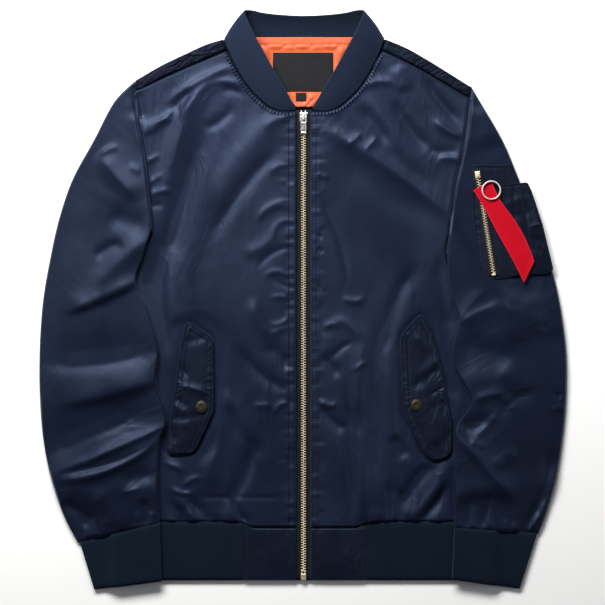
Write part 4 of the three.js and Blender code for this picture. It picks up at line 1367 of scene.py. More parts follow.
@dataclass
class FrontPanel:
    """One front, from the folded edge beside the zip to the side seam.

    Attributes:
        half: Which half and its edges.
        columns: Cells across.
        rows: Cells up.
        thickness: Of the cloth.
        stitch_line: From the front's folded edge to its row of stitches.
    """

    half: Half
    columns: int = 104
    rows: int = 236
    thickness: float = 1.3
    stitch_line: float = 8.1
    noise: Unevenness = field(init=False)

    def __post_init__(self) -> None:
        """Works out the panel's four edges."""
        half = self.half
        self.noise = Unevenness(11 + half.sign)
        self.zip_edge = ZIP_X + half.sign * FRONT_EDGE
        neck = neck_edge(half.sign)
        neck[0] = (self.zip_edge, ZIP_TOP)
        self.neck = Run([*neck, half.shoulder_seam[0]])
        self.shoulder = Run(half.shoulder_seam)
        top = half.shoulder_seam[-1][1]
        self.armhole = Run([p for p in half.armhole if p[1] < top])
        edge = [*reversed(half.flank), *reversed(half.hidden[:-1])]
        edge += [p for p in reversed(half.armhole[:-1]) if p[1] < top] + [half.shoulder_seam[-1]]
        self.edge = Run(edge)
        self.low_y = END_PANEL_SEAM + SEAM

    def low(self, s: np.ndarray) -> np.ndarray:
        """Follows the front's low edge.

        Args:
            s: Shares across.

        Returns:
            Places along the low edge.
        """
        half = self.half
        step = half.end_panel - half.sign * END_SLOPE
        xs = [self.zip_edge, step, half.end_panel, half.flank[-1][0]]
        ys = [self.low_y, self.low_y, HEM_SEAM + SEAM, HEM_SEAM + SEAM]
        marks = [0, 5 / 16, 6 / 16, 1]
        return np.stack([np.interp(s, marks, xs), np.interp(s, marks, ys)], axis=-1)

    def high(self, s: np.ndarray) -> np.ndarray:
        """Follows the front's high edge.

        Args:
            s: Shares across.

        Returns:
            Places along the neck and the shoulder seam.
        """
        s = np.asarray(s, float)
        neck = self.neck.at(np.clip(2 * s, 0, 1))
        shoulder = self.shoulder.at(np.clip(2 * s - 1, 0, 1))
        return np.where(s[..., None] < 0.5, neck, shoulder)

    def plan(self, s: np.ndarray, t: np.ndarray) -> np.ndarray:
        """Spreads the front between its four edges.

        Args:
            s, t: Shares across and up.

        Returns:
            Places seen from above.
        """
        s, t = np.asarray(s, float), np.asarray(t, float)
        foot, top = HEM_SEAM + SEAM, self.half.shoulder_seam[-1][1]
        y = foot + t * (top - foot)
        outer = np.stack([self.edge.x_at(y), y], axis=-1)
        inner_y = self.low_y + t * (ZIP_TOP - self.low_y)
        inner = np.stack([np.full_like(t, self.zip_edge), inner_y], axis=-1)
        s, t = s[..., None], t[..., None]
        corner = [self.low(np.zeros(1))[0], self.low(np.ones(1))[0]]
        corner += [self.high(np.zeros(1))[0], self.high(np.ones(1))[0]]
        flat = (1 - t) * ((1 - s) * corner[0] + s * corner[1])
        flat = flat + t * ((1 - s) * corner[2] + s * corner[3])
        sides = (1 - s) * inner + s * outer
        return sides + (1 - t) * self.low(s[..., 0]) + t * self.high(s[..., 0]) - flat

    def height(self, x: np.ndarray, y: np.ndarray) -> np.ndarray:
        """Adds up folds, gathers, puckers and seams.

        Args:
            x, y: Places.

        Returns:
            The height of the cloth's outside there.
        """
        half, noise = self.half, self.noise
        shown = half.sign * (half.cover(y) - x)
        laid_on = smoothstep(half.hidden[0][1] - y, -25, 25)
        seen = smoothstep(shown / (5 + 16 * laid_on), 0.05, 1)
        ground = Run(FLAPS[half.side].ground, smooth=False)
        under_flap = smoothstep(ground.distance(x, y), 31, 46)
        from_zip = half.sign * (x - self.zip_edge)
        above_hem = y - (HEM_SEAM + SEAM)
        swell = noise.at(x / 46 + 3, y / 120) * 0.7 + noise.at(x / 24 + 9, y / 80 + 5) * 0.3
        crumple = noise.crumple(x, y, 15, -38 * half.sign) * (0.1 + 0.16 * smoothstep(y, 100, 260))
        crumple += noise.crumple(x + 40, y, 8, 25 * half.sign) * 0.06
        low = smoothstep(-y, 10, 150)
        crumple += noise.crumple(x - 25, y, 19, 14 * half.sign) * 0.3 * low
        deep = 1.35 + 0.4 * smoothstep(-y, -20, 130)
        calm = 0.74 + 0.26 * smoothstep(from_zip, 24, 60)
        folds = 0.9 + np.maximum(deep * calm * relief(FRONT_FOLDS[half.side], x, y), -3.6)
        flap = soft_outline(FLAPS[half.side].outline, 9).distance(x, y)
        gathered = smoothstep(np.abs(x), abs(half.end_panel) - 16, abs(half.end_panel) + 12)
        gather = noise.at(x / 7.0, y / 110 + 2) * 2.3 * gathered * np.exp(-above_hem / 36)
        hanging = gathered * smoothstep(from_zip, 26, 60) * np.exp(-above_hem / 95)
        gather = gather + noise.at(x / 15 + 6, y / 170 + 1) * 2.0 * hanging
        beside_row = np.exp(-((from_zip - self.stitch_line) / 10) ** 2)
        pucker = noise.at(y / 5.5 + 4, x / 14) * 0.7 * beside_row
        around = np.degrees(np.arctan2(x - COLLAR_X, y - 300))
        neck = self.neck.distance(x, y)
        pucker = pucker + noise.at(around / 5.5, 3) * 0.9 * np.exp(-neck / 9)
        raised = folds + swell + crumple
        raised = np.minimum(raised, 0) + under_flap * np.maximum(raised, 0)
        z = FRONT_TOP + seen * raised + gather * seen
        z -= 1.7 * np.exp(-((flap / 4.2) ** 2))
        z += pucker + 1.1 * gathered * seen * np.exp(-((above_hem - 9) / 8) ** 2)
        z -= 0.5 * np.exp(-(((from_zip - self.stitch_line) / 0.9) ** 2))
        z -= turned_in(from_zip, 1.7)
        z -= 2.4 * (1 - smoothstep(above_hem + 7 * (1 - gathered), 0, 3.2))
        z -= 2.0 * (1 - smoothstep(neck, 0, 2.2)) - 0.45 * np.exp(-(((neck - 4.2) / 2) ** 2))
        z -= 2.2 * (1 - smoothstep(self.shoulder.distance(x, y), 0, 2.6))
        arm = self.armhole.distance(x, y)
        z -= 1.9 * (1 - smoothstep(arm, 0, 2.6)) - 0.35 * np.exp(-(((arm - 5) / 3) ** 2))
        z -= 3.0 * (1 - smoothstep(np.abs(self.edge.x_at(y) - x), 0, 3)) * (y < 80)
        return np.maximum(z, FRONT_BASE - 0.6)

    def place(self, s: np.ndarray, t: np.ndarray) -> np.ndarray:
        """Places a point of the front.

        Args:
            s, t: Shares across and up the cut.

        Returns:
            Places in space.
        """
        s = np.interp(s, [0, 0.20, 0.92, 1], [0, 0.078, 0.965, 1])
        t = np.interp(t, [0, 0.03, 0.95, 1], [0, 0.013, 0.982, 1])
        at = self.plan(s, t)
        z = self.height(at[:, 0], at[:, 1])
        at[:, 0] += self.half.sign * 1.5 * smoothstep(s, 0.965, 1)
        return np.column_stack([at, z])

    def build(self) -> bpy.types.Object:
        """Returns: the front, dressed."""
        word = self.half.side.word
        piece = cloth(f"front_panel_{word}", self.columns, self.rows, self.place, (0.24, 0.6))
        thicken(piece, self.thickness)
        dress(piece, NYLON, [f"front_{word}"])
        return piece

    def seams(self) -> list[Run]:
        """Returns: the rows of stitches on the front."""
        sign = self.half.sign
        lines = []
        for off in (1.9, self.stitch_line + 1.4):
            x = self.zip_edge + sign * off
            lines.append(Run([(x, self.low_y + 3), (x, 0), (x, ZIP_TOP - 1)], smooth=False))
        lines.append(self.shoulder.moved(sign * -3.2))
        lines.append(self.armhole.moved(sign * -4.2).part(0.02, 0.72))
        return lines


@dataclass
class BackPanel:
    """The back, which lies on the floor and rolls forward over both shoulders."""

    columns: int = 112
    rows: int = 128
    strip_rows: int = 16
    thickness: float = 1.2

    def __post_init__(self) -> None:
        """Works out its edges."""
        self.noise = Unevenness(31)
        self.side = {half.side: self.outline(half) for half in (RIGHT, LEFT)}
        self.marks = (0.25, 0.75)

    def outline(self, half: Half) -> Run:
        """Args: half: one half. Returns: its outer edge from the hem up to the shoulder."""
        edge = [(half.sign * HEM_HALF_WIDTH, HEM_SEAM + SEAM), *reversed(half.flank[:-1])]
        return Run([*edge, *reversed(half.hidden[:-1]), *reversed(half.armhole[:-1])])

    def top(self, s: np.ndarray) -> np.ndarray:
        """Follows the back's high edge.

        Args:
            s: Shares across.

        Returns:
            Places along both shoulders and the back neck.
        """
        right, left = (Run(half.shoulder_edge) for half in (RIGHT, LEFT))
        low, high = self.marks
        first = right.at(np.clip(1 - s / low, 0, 1))
        last = left.at(np.clip((s - high) / (1 - high), 0, 1))
        neck_x = np.interp(s, [low, high], [RIGHT.shoulder_edge[0][0], LEFT.shoulder_edge[0][0]])
        middle = np.stack([neck_x, np.full_like(neck_x, 325.5)], axis=-1)
        s = np.asarray(s)[..., None]
        return np.where(s < low, first, np.where(s > high, last, middle))

    def plan(self, s: np.ndarray, t: np.ndarray) -> np.ndarray:
        """Spreads the back between its four edges.

        Args:
            s, t: Shares across and up.

        Returns:
            Places seen from above.
        """
        foot = HEM_SEAM + SEAM
        ends = {side: run.points[-1] for side, run in self.side.items()}
        sides = []
        for side, run in self.side.items():
            y = foot + t * (ends[side][1] - foot)
            sides.append(np.stack([run.x_at(y), y], axis=-1))
        high = self.top(s)
        s, t = s[:, None], t[:, None]
        chord = (1 - s) * self.top(np.zeros(1))[0] + s * self.top(np.ones(1))[0]
        return (1 - s) * sides[0] + s * sides[1] + t * (high - chord)

    def place(self, s: np.ndarray, t: np.ndarray) -> np.ndarray:
        """Places a point of the back.

        Args:
            s, t: Shares across and up the cut.

        Returns:
            Places in space.
        """
        at = self.plan(s, t)
        at[:, 0] += 1.2 * (smoothstep(s, 0.98, 1) - (1 - smoothstep(s, 0, 0.02)))
        x, y = at[:, 0], at[:, 1]
        z = FLOOR_GAP + 0.9 * np.maximum(self.noise.crumple(x, y, 26, 18), 0) * self.within(s, t)
        flank = np.minimum(s, 1 - s)
        z = z + 2.2 * (1 - smoothstep(flank, 0, 0.012)) * (t < 0.97)
        z = z + 2.0 * (1 - smoothstep(t, 0, 0.006))
        return np.column_stack([at, z])

    def within(self, s: np.ndarray, t: np.ndarray) -> np.ndarray:
        """Args: s, t: shares. Returns: 1 in the middle of the back, 0 along its edges."""
        return smoothstep(np.minimum(np.minimum(s, 1 - s) * 4, np.minimum(t, 1 - t) * 4), 0.05, 0.5)

    def strip(self, half: Half) -> Place:
        """Shapes the shoulder strip that the back is rolled into.

        Args:
            half: One half.

        Returns:
            The place function of its rolled shoulder strip.
        """
        edge, seam = Run(half.shoulder_edge), Run(half.shoulder_seam)

        def place(s: np.ndarray, t: np.ndarray) -> np.ndarray:
            """Places a point of the strip.

            Args:
                s, t: Shares along the shoulder and round it.

            Returns:
                Places.
            """
            share = 1 - s if half.side is Side.RIGHT else s
            top, foot = edge.at(share), seam.at(share)
            width = np.linalg.norm(foot - top, axis=1)
            turn = np.clip(t / 0.35, 0, 1) * math.pi
            across = np.where(t < 0.35, 1.9 * (1 - np.sin(turn)), 0)
            rest = np.clip((t - 0.35) / 0.65, 0, 1)
            across = np.where(t >= 0.35, 1.9 + rest * (width - 0.4 - 1.9), across)
            at = top + (foot - top) / width[:, None] * across[:, None]
            z = FLOOR_GAP + (FRONT_TOP - FLOOR_GAP) * (1 - np.cos(turn)) / 2
            crinkle = self.noise.crumple(at[:, 0], at[:, 1], 5, 62 * half.sign) * 0.55
            loose = smoothstep(rest, 0.02, 0.2) * (1 - smoothstep(rest, 0.86, 1))
            z = z + crinkle * loose - 2.2 * smoothstep(rest, 0.86, 1)
            return np.column_stack([at, z])

        return place

    def build(self) -> bpy.types.Object:
        """Returns: the back with both its shoulder strips, dressed."""
        flat = cloth("back_panel", self.columns, self.rows, self.place, (0.52, 0.62), Facing.DOWN)
        bm = bmesh.new()
        bm.from_mesh(flat.data)
        count = int(self.columns * self.marks[0])
        for half in (RIGHT, LEFT):
            facing = Facing.UP
            strip = cloth("strip", count, self.strip_rows, self.strip(half), (0.12, 0.024), facing)
            bm.from_mesh(strip.data)
            bpy.data.objects.remove(strip)
        bmesh.ops.remove_doubles(bm, verts=bm.verts[:], dist=0.0009)
        bm.to_mesh(flat.data)
        bm.free()
        flat.data.shade_smooth()
        thicken(flat, self.thickness)
        dress(flat, SHADED_BACK_NYLON, ["back"])
        return flat


@dataclass
class Sleeve:
    """One sleeve: a flattened tube of cloth from the armhole to the cuff.

    Attributes:
        half: Which half and its edges.
        around: Cells round the tube.
        along: Cells down the arm.
        thickness: Of the cloth.
        upper: The share of the cells that lies on the upper layer.
    """

    half: Half
    around: int = 128
    along: int = 224
    thickness: float = 1.2
    upper: float = 0.62

    def __post_init__(self) -> None:
        """Works out its folded edges and its head."""
        half = self.half
        self.noise = Unevenness(51 + half.sign)
        self.outer, self.inner = Run(half.outer), Run(half.inner)
        seam = [(x + half.sign * SEAM, y) for x, y in half.armhole]
        self.head = Run(list(reversed(seam)))

    def lift(self, x: np.ndarray, y: np.ndarray) -> np.ndarray:
        """Tells how the body holds the sleeve up.

        Args:
            x, y: Places.

        Returns:
            How far the body holds the sleeve up, falling off softly.
        """
        half = self.half
        hem = (half.flank[-1][0], HEM_LOW)
        edge = Run([*half.hidden, *half.flank[1:], hem], smooth=False)
        over = (y < half.hidden[0][1]) & (np.abs(x) < np.abs(edge.x_at(y)))
        beyond = np.where(over, 0.0, edge.distance(x, y))
        room = self.outer.distance(x, y)
        soft = LIFT * (1 - smoothstep(beyond / (beyond + room + 1e-6), 0.06, 0.98))
        free = self.free(x, y)
        return free * soft + (1 - free) * half.lift(x, y)

    def slack(self, x: np.ndarray, y: np.ndarray) -> np.ndarray:
        """Tells how loosely the upper layer lies.

        Args:
            x, y: Places.

        Returns:
            How far the upper layer stands over the lower one there.
        """
        free = self.free(x, y)
        folds = np.maximum(-2.8, 1.8 + 1.25 * relief(SLEEVE_FOLDS[self.half.side], x, y))
        return free * folds + (1 - free) * SLEEVE_SLACK

    def free(self, x: np.ndarray, y: np.ndarray) -> np.ndarray:
        """Keeps the cloth flat under the pocket.

        Args:
            x, y: Places.

        Returns:
            0 where the zip pocket holds the cloth flat, else 1.
        """
        if self.half.side is Side.RIGHT:
            return np.ones(np.shape(x))
        return smoothstep(Run([(238, 134), (280, 66)], smooth=False).distance(x, y), 52, 76)

    def section(self, u: np.ndarray) -> tuple[np.ndarray, np.ndarray]:
        """Folds the tube flat.

        Args:
            u: Shares round the tube.

        Returns:
            Shares across it, and 1 on the upper layer.
        """
        up = u <= self.upper
        share = np.where(up, u / self.upper, (1 - u) / (1 - self.upper))
        across = share - np.sin(math.tau * share) / math.tau * 0.72
        return across, np.where(up, 1.0, -1.0)

    def place(self, u: np.ndarray, v: np.ndarray) -> np.ndarray:
        """Places a point of the sleeve, with its folds.

        Args:
            u, v: Shares round the tube and down the arm.

        Returns:
            Places in space.
        """
        q, sign = self.section(u)
        down = np.interp(v, [0, 0.02, 0.97, 1], [0, 0.008, 0.988, 1])
        outer, inner = self.outer.at(down), self.inner.at(down)
        width = np.linalg.norm(outer - inner, axis=1)
        start = self.inner.at(0.0) + (self.outer.at(0.0) - self.inner.at(0.0)) * q[:, None]
        bend = (self.head.at(q) - start) * ((1 - down) ** 3)[:, None]
        at = inner + (outer - inner) * q[:, None] + bend
        tuck = 1 - smoothstep(down, 0, 0.006)
        at = at - np.array([[self.half.sign, 0.0]]) * (1.6 * tuck)[:, None]
        x, y = at[:, 0], at[:, 1]
        edge = np.minimum(np.minimum(q, 1 - q) * width, FOLD_RADIUS)
        swell = np.sqrt(np.clip(1 - (1 - edge / FOLD_RADIUS) ** 2, 0, 1))
        base = self.lift(x, y) + FLOOR_GAP
        slack = self.slack(x, y)
        under = WALL
        upper = (under + slack * smoothstep(edge, 0, 3.4)) * swell
        z = base + under + np.where(sign > 0, upper, -under * swell)
        ends = smoothstep(down, 0.0, 0.03) * (1 - smoothstep(down, 0.965, 1.0))
        inside = smoothstep(edge, 0.5, FOLD_RADIUS)
        top = np.where(sign > 0, 1.0, 0.0) * inside * self.free(x, y)
        turn = 52 if self.half.side is Side.RIGHT else -52
        fine = self.noise.crumple(x, y, 17, turn) * 0.16
        fine = fine + self.noise.crumple(x, y + 70, 8, turn) * 0.07
        swells = self.noise.at(x / 40, y / 46 + 8) * 0.6
        z = z + top * ends * (fine + swells)
        cuff = smoothstep(down, 0.86, 0.985) * (1 - smoothstep(down, 0.985, 1.0))
        gather = self.noise.at(q * width / 5.5, down * 9 + 2) * 1.1
        z = z + np.where(sign > 0, 1.0, 0.0) * inside * cuff * (gather + 0.6)
        roll = 2.0 * np.exp(-(((down - 0.88) / 0.032) ** 2)) - 2.2 * smoothstep(down, 0.90, 0.99)
        z = z + top * roll
        seam = np.maximum(1 - smoothstep(down, 0, 0.01), smoothstep(down, 0.99, 1.0))
        middle = base + under
        z = middle + (z - middle) * (1 - 0.45 * seam)
        return np.column_stack([at, np.maximum(z, FLOOR_GAP)])

    def build(self) -> bpy.types.Object:
        """Returns: the sleeve, dressed."""
        word = self.half.side.word
        piece = cloth(
            f"sleeve_cloth_{word}", self.around, self.along, self.place, (0.27, 0.62),
            Facing.AROUND, closed=True,
        )
        thicken(piece, self.thickness)
        dress(piece, SHADED_SLEEVE_NYLON, [f"sleeve_{word}"])
        return piece


# ---------------------------------------------------------------------------------------------
# Ribs
# ---------------------------------------------------------------------------------------------


def wales(along: np.ndarray, depth: float) -> np.ndarray:
    """Args: along: distances across the ribs. depth: of the hollows. Returns: how far they sink."""
    return depth * (0.5 + 0.5 * np.cos(along / WALE * math.tau)) ** 1.4


@dataclass
class Cuff:
    """One rib cuff, a flattened tube that narrows to the wrist."""

    half: Half
    along: int = 16
    thickness: float = 1.5
    depth: float = 0.55

    def __post_init__(self) -> None:
        """Works out its folded edges."""
        self.outer = Run(self.half.cuff_outer, smooth=False)
        self.inner = Run(self.half.cuff_inner, smooth=False)
        self.width = math.dist(self.half.cuff_outer[0], self.half.cuff_inner[0])
        self.count = round(self.width / WALE)

    def place(self, u: np.ndarray, v: np.ndarray) -> np.ndarray:
        """Places a point of the cuff, with its ribs.

        Args:
            u, v: Shares round the cuff and down it.

        Returns:
            Places in space.
        """
        sign = np.where(u <= 0.5, 1.0, -1.0)
        q = np.where(u <= 0.5, 2 * u, 2 - 2 * u)
        down = -0.03 + 1.03 * v
        outer = self.outer.points[0] + (self.outer.points[1] - self.outer.points[0]) * down[:, None]
        inner = self.inner.points[0] + (self.inner.points[1] - self.inner.points[0]) * down[:, None]
        at = inner + (outer - inner) * q[:, None]
        x, y = at[:, 0], at[:, 1]
        edge = np.minimum(np.minimum(q, 1 - q) * self.width, FOLD_RADIUS)
        swell = np.sqrt(np.clip(1 - (1 - edge / FOLD_RADIUS) ** 2, 0, 1))
        base = self.half.lift(x, y) + FLOOR_GAP
        room = WALL + SLEEVE_SLACK / 2
        seam = 1 - smoothstep(v, 0, 0.07)
        wrist = turned_in((1 - v) * 60, 1.6)
        reach = room * (1 - 0.3 * seam) - wrist
        reach = reach - wales(q * self.count * WALE, self.depth) * (1 - seam)
        z = base + room + sign * swell * reach
        return np.column_stack([at, z])

    def build(self) -> bpy.types.Object:
        """Returns: the cuff, dressed."""
        word = self.half.side.word
        around = self.count * 8
        piece = cloth(
            f"cuff_rib_{word}", around, self.along, self.place,
            (2 * self.count * WALE * MM, 0.066), Facing.AROUND, closed=True,
        )
        thicken(piece, self.thickness)
        dress(piece, RIB, [f"cuff_{word}"])
        return piece


@dataclass
class HemBand:
    """The rib band round the hem, folded at both sides."""

    rows: int = 18
    thickness: float = 1.6
    depth: float = 0.5
    points_each: int = 4

    def __post_init__(self) -> None:
        """Works out its section, from one end panel round the back to the other."""
        top, side = FRONT_TOP, HEM_HALF_WIDTH
        start, end = RIGHT.end_panel + SEAM, LEFT.end_panel - SEAM
        mid, radius = (top + FLOOR_GAP) / 2, (top - FLOOR_GAP) / 2
        turn = np.linspace(0, math.pi, 15)
        line = [(start, top)]
        line += [(-side + radius - radius * math.sin(a), mid + radius * math.cos(a)) for a in turn]
        line += [(side - radius + radius * math.sin(a), mid - radius * math.cos(a)) for a in turn]
        line += [(end, top)]
        self.section = Run(line, smooth=False)
        self.count = round(self.section.length / WALE)

    def place(self, s: np.ndarray, t: np.ndarray) -> np.ndarray:
        """Places a point of the band, with its ribs.

        Args:
            s, t: Shares along the band and up it.

        Returns:
            Places in space.
        """
        at = self.section.at(s)
        step = 0.0008
        ahead = self.section.at(np.clip(s + step, 0, 1)) - self.section.at(np.clip(s - step, 0, 1))
        ahead = ahead / np.maximum(np.linalg.norm(ahead, axis=1), 1e-9)[:, None]
        out = np.stack([ahead[:, 1], -ahead[:, 0]], axis=1)
        seam = smoothstep(t, 0.94, 1.0)
        ends = 1 - smoothstep(np.minimum(s, 1 - s) * self.section.length, 0, 2.5)
        sink = wales(s * self.count * WALE, self.depth) * (1 - seam)
        sink = sink + 1.7 * seam + 1.5 * ends + turned_in(t * (HEM_SEAM - HEM_LOW), 1.5)
        lifted = np.where(at[:, 1] < 1, 0.45, 1.0)
        at = at + out * (-sink * lifted)[:, None]
        y = HEM_LOW + t * (HEM_SEAM - HEM_LOW + 1.2)
        return np.column_stack([at[:, 0], y, np.maximum(at[:, 1], FLOOR_GAP)])

    def build(self) -> bpy.types.Object:
        """Returns: the band, dressed."""
        columns = self.count * self.points_each
        piece = cloth(
            "hem_rib_band", columns, self.rows, self.place, (self.count * WALE * MM, 0.072),
            Facing.AROUND,
        )
        thicken(piece, self.thickness)
        dress(piece, RIB, ["hem_rib"])
        return piece


@dataclass
class Collar:
    """The rib collar: a doubled band that stands round the neck and tapers to the zip."""

    across: int = 26
    thickness: float = 2.4
    bow: float = 1.6
    depth: float = 0.26
    points_each: int = 4

    def __post_init__(self) -> None:
        """Works out its seam and its free edge, from one end of the zip to the other."""
        self.seam, self.edge = self.whole(COLLAR_SEAM), self.whole(COLLAR_EDGE)
        middle = (self.seam + self.edge) / 2
        steps = np.linalg.norm(np.diff(middle, axis=0), axis=1)
        self.marks = np.concatenate([[0.0], np.cumsum(steps)])
        self.count = round(self.marks[-1] / WALE)

    def whole(self, half: Sequence[Sequence[float]]) -> np.ndarray:
        """Joins one half's stations to their mirror.

        Args:
            half: Its left half's stations.

        Returns:
            Points all round, right end first.
        """
        right = [(COLLAR_X - x, y, z) for x, y, z in half]
        left = [(COLLAR_X + x, y, z) for x, y, z in reversed(half[:-1])]
        return rounded([*right, *left], 12)

    def place(self, s: np.ndarray, w: np.ndarray) -> np.ndarray:
        """Places a point of the collar, with its ribs.

        Args:
            s, w: Shares along the collar and round its section.

        Returns:
            Places.
        """
        index = np.arange(len(self.marks))
        spot = np.interp(s * self.marks[-1], self.marks, index)

        def read(line: np.ndarray, shift: float = 0.0) -> np.ndarray:
            """Args: line: points. shift: along them. Returns: places there."""
            where = np.clip(spot + shift, 0, index[-1])
            return np.stack([np.interp(where, index, axis) for axis in line.T], axis=-1)

        foot, across = read(self.seam), read(self.edge) - read(self.seam)
        run = read(self.seam, 0.6) - read(self.seam, -0.6)
        run = run + read(self.edge, 0.6) - read(self.edge, -0.6)
        normal = np.cross(across, run)
        normal = normal / np.maximum(np.linalg.norm(normal, axis=1), 1e-9)[:, None]
        length = np.linalg.norm(across, axis=1)
        out = w < 0.5
        share = np.where(out, 2 * w, 2 - 2 * w)
        share = np.interp(share, [0, 0.06, 0.8, 1], [0, 0.02, 0.94, 1])
        half = self.thickness / 2
        from_edge = (1 - share) * length
        reach = half - turned_in(from_edge, half)
        tip = np.minimum(np.minimum(s, 1 - s) * self.marks[-1], 6) / 6
        reach = reach * (0.35 + 0.65 * tip)
        worn = smoothstep(np.minimum(share * length, from_edge), 0.2, 2.0) * tip
        reach = reach - wales(s * self.count * WALE, self.depth) * worn
        bowed = self.bow * np.minimum(1, length / 30) * np.sin(math.pi * share)
        at = foot + across * share[:, None]
        at = at + normal * (bowed + np.where(out, reach, -reach))[:, None]
        at[:, 2] = np.maximum(at[:, 2], 0.3)
        return at

    def build(self) -> bpy.types.Object:
        """Returns: the collar, dressed."""
        piece = cloth(
            "collar_rib", self.count * self.points_each, self.across, self.place,
            (self.count * WALE * MM, 0.07), Facing.AROUND, closed=True,
        )
        bm = bmesh.new()
        bm.from_mesh(piece.data)
        open_edges = [edge for edge in bm.edges if edge.is_boundary]
        bmesh.ops.holes_fill(bm, edges=open_edges, sides=0)
        bm.to_mesh(piece.data)
        bm.free()
        piece.data.shade_smooth()
        dress(piece, LIT_COLLAR_RIB, ["collar"])
        return piece

    def seams(self) -> list[Run]:
        """Returns: the slanted covering stitches just outside the collar's seam, one by one."""
        away = self.seam[:, :2] - self.edge[:, :2]
        away = away / np.maximum(np.linalg.norm(away, axis=1), 1e-9)[:, None]
        near = Run(self.seam[:, :2] + away * 2.8, smooth=False)
        far = Run(self.seam[:, :2] + away * 7.4, smooth=False)
        count = int(near.length / 4.2)
        slants = []
        for i in range(count):
            share = (i + 0.5) / count
            slants.append(Run([near.at(share), far.at(share + 0.35 / count)], smooth=False))
        return slants


# ---------------------------------------------------------------------------------------------
# Hem ends, lining and labels
# ---------------------------------------------------------------------------------------------


@dataclass
class HemEnd:
    """The plain cloth panel at one end of the hem, beside the zip."""

    half: Half
    columns: int = 56
    rows: int = 44
    thickness: float = 1.3

    def __post_init__(self) -> None:
        """Starts its unevenness."""
        self.noise = Unevenness(71 + self.half.sign)

    def place(self, s: np.ndarray, t: np.ndarray) -> np.ndarray:
        """Places a point of the end panel.

        Args:
            s, t: Shares across and up.

        Returns:
            Places in space.
        """
        sign, reach = self.half.sign, self.half.end_panel
        start = ZIP_X + sign * FRONT_EDGE
        s = np.interp(s, [0, 0.15, 0.85, 1], [0, 0.06, 0.93, 1])
        t = np.interp(t, [0, 0.2, 0.85, 1], [0, 0.05, 0.95, 1])
        x = start + s * (reach - start)
        slope = smoothstep(np.abs(x), abs(reach) - END_SLOPE, abs(reach))
        top = END_PANEL_SEAM + slope * (HEM_SEAM - END_PANEL_SEAM)
        y = HEM_LOW + t * (top - HEM_LOW)
        from_zip, from_rib = np.abs(x - start), np.abs(reach - x)
        from_top, from_low = top - y, y - HEM_LOW
        z = FRONT_TOP - turned_in(from_zip, 1.7) - turned_in(from_low, 1.6)
        z -= 1.5 * (1 - smoothstep(from_rib, 0, 1.6)) + 1.6 * (1 - smoothstep(from_top, 0, 1.8))
        for line in (from_rib - 3.0, from_zip - 8.1, from_top - 3.0):
            z -= 0.3 * np.exp(-((line / 0.8) ** 2))
            z += self.noise.at((x + y) / 5, (x - y) / 9) * 0.28 * np.exp(-((line / 6) ** 2))
        z += self.noise.crumple(x, y, 20, 70) * 0.35 * smoothstep(from_low, 0, 20)
        return np.column_stack([x, y, z])

    def build(self) -> bpy.types.Object:
        """Returns: the panel, dressed."""
        word = self.half.side.word
        piece = cloth(f"hem_end_panel_{word}", self.columns, self.rows, self.place, (0.07, 0.068))
        thicken(piece, self.thickness)
        dress(piece, TRIM_NYLON, [f"hem_end_{word}"])
        return piece

    def seams(self) -> list[Run]:
        """Returns: its rows of stitches."""
        sign, reach = self.half.sign, self.half.end_panel
        lines = []
        for off in (2.0, 4.6):
            x = reach - sign * off
            lines.append(Run([(x, HEM_LOW + 2), (x, HEM_SEAM - 3)], smooth=False))
        zip_x = ZIP_X + sign * (FRONT_EDGE + 8.1)
        lines.append(Run([(zip_x, HEM_LOW + 2), (zip_x, END_PANEL_SEAM - 2)], smooth=False))
        top = END_PANEL_SEAM - 2.6
        lines.append(Run([(zip_x, top), (reach - sign * END_SLOPE, top)], smooth=False))
        return lines


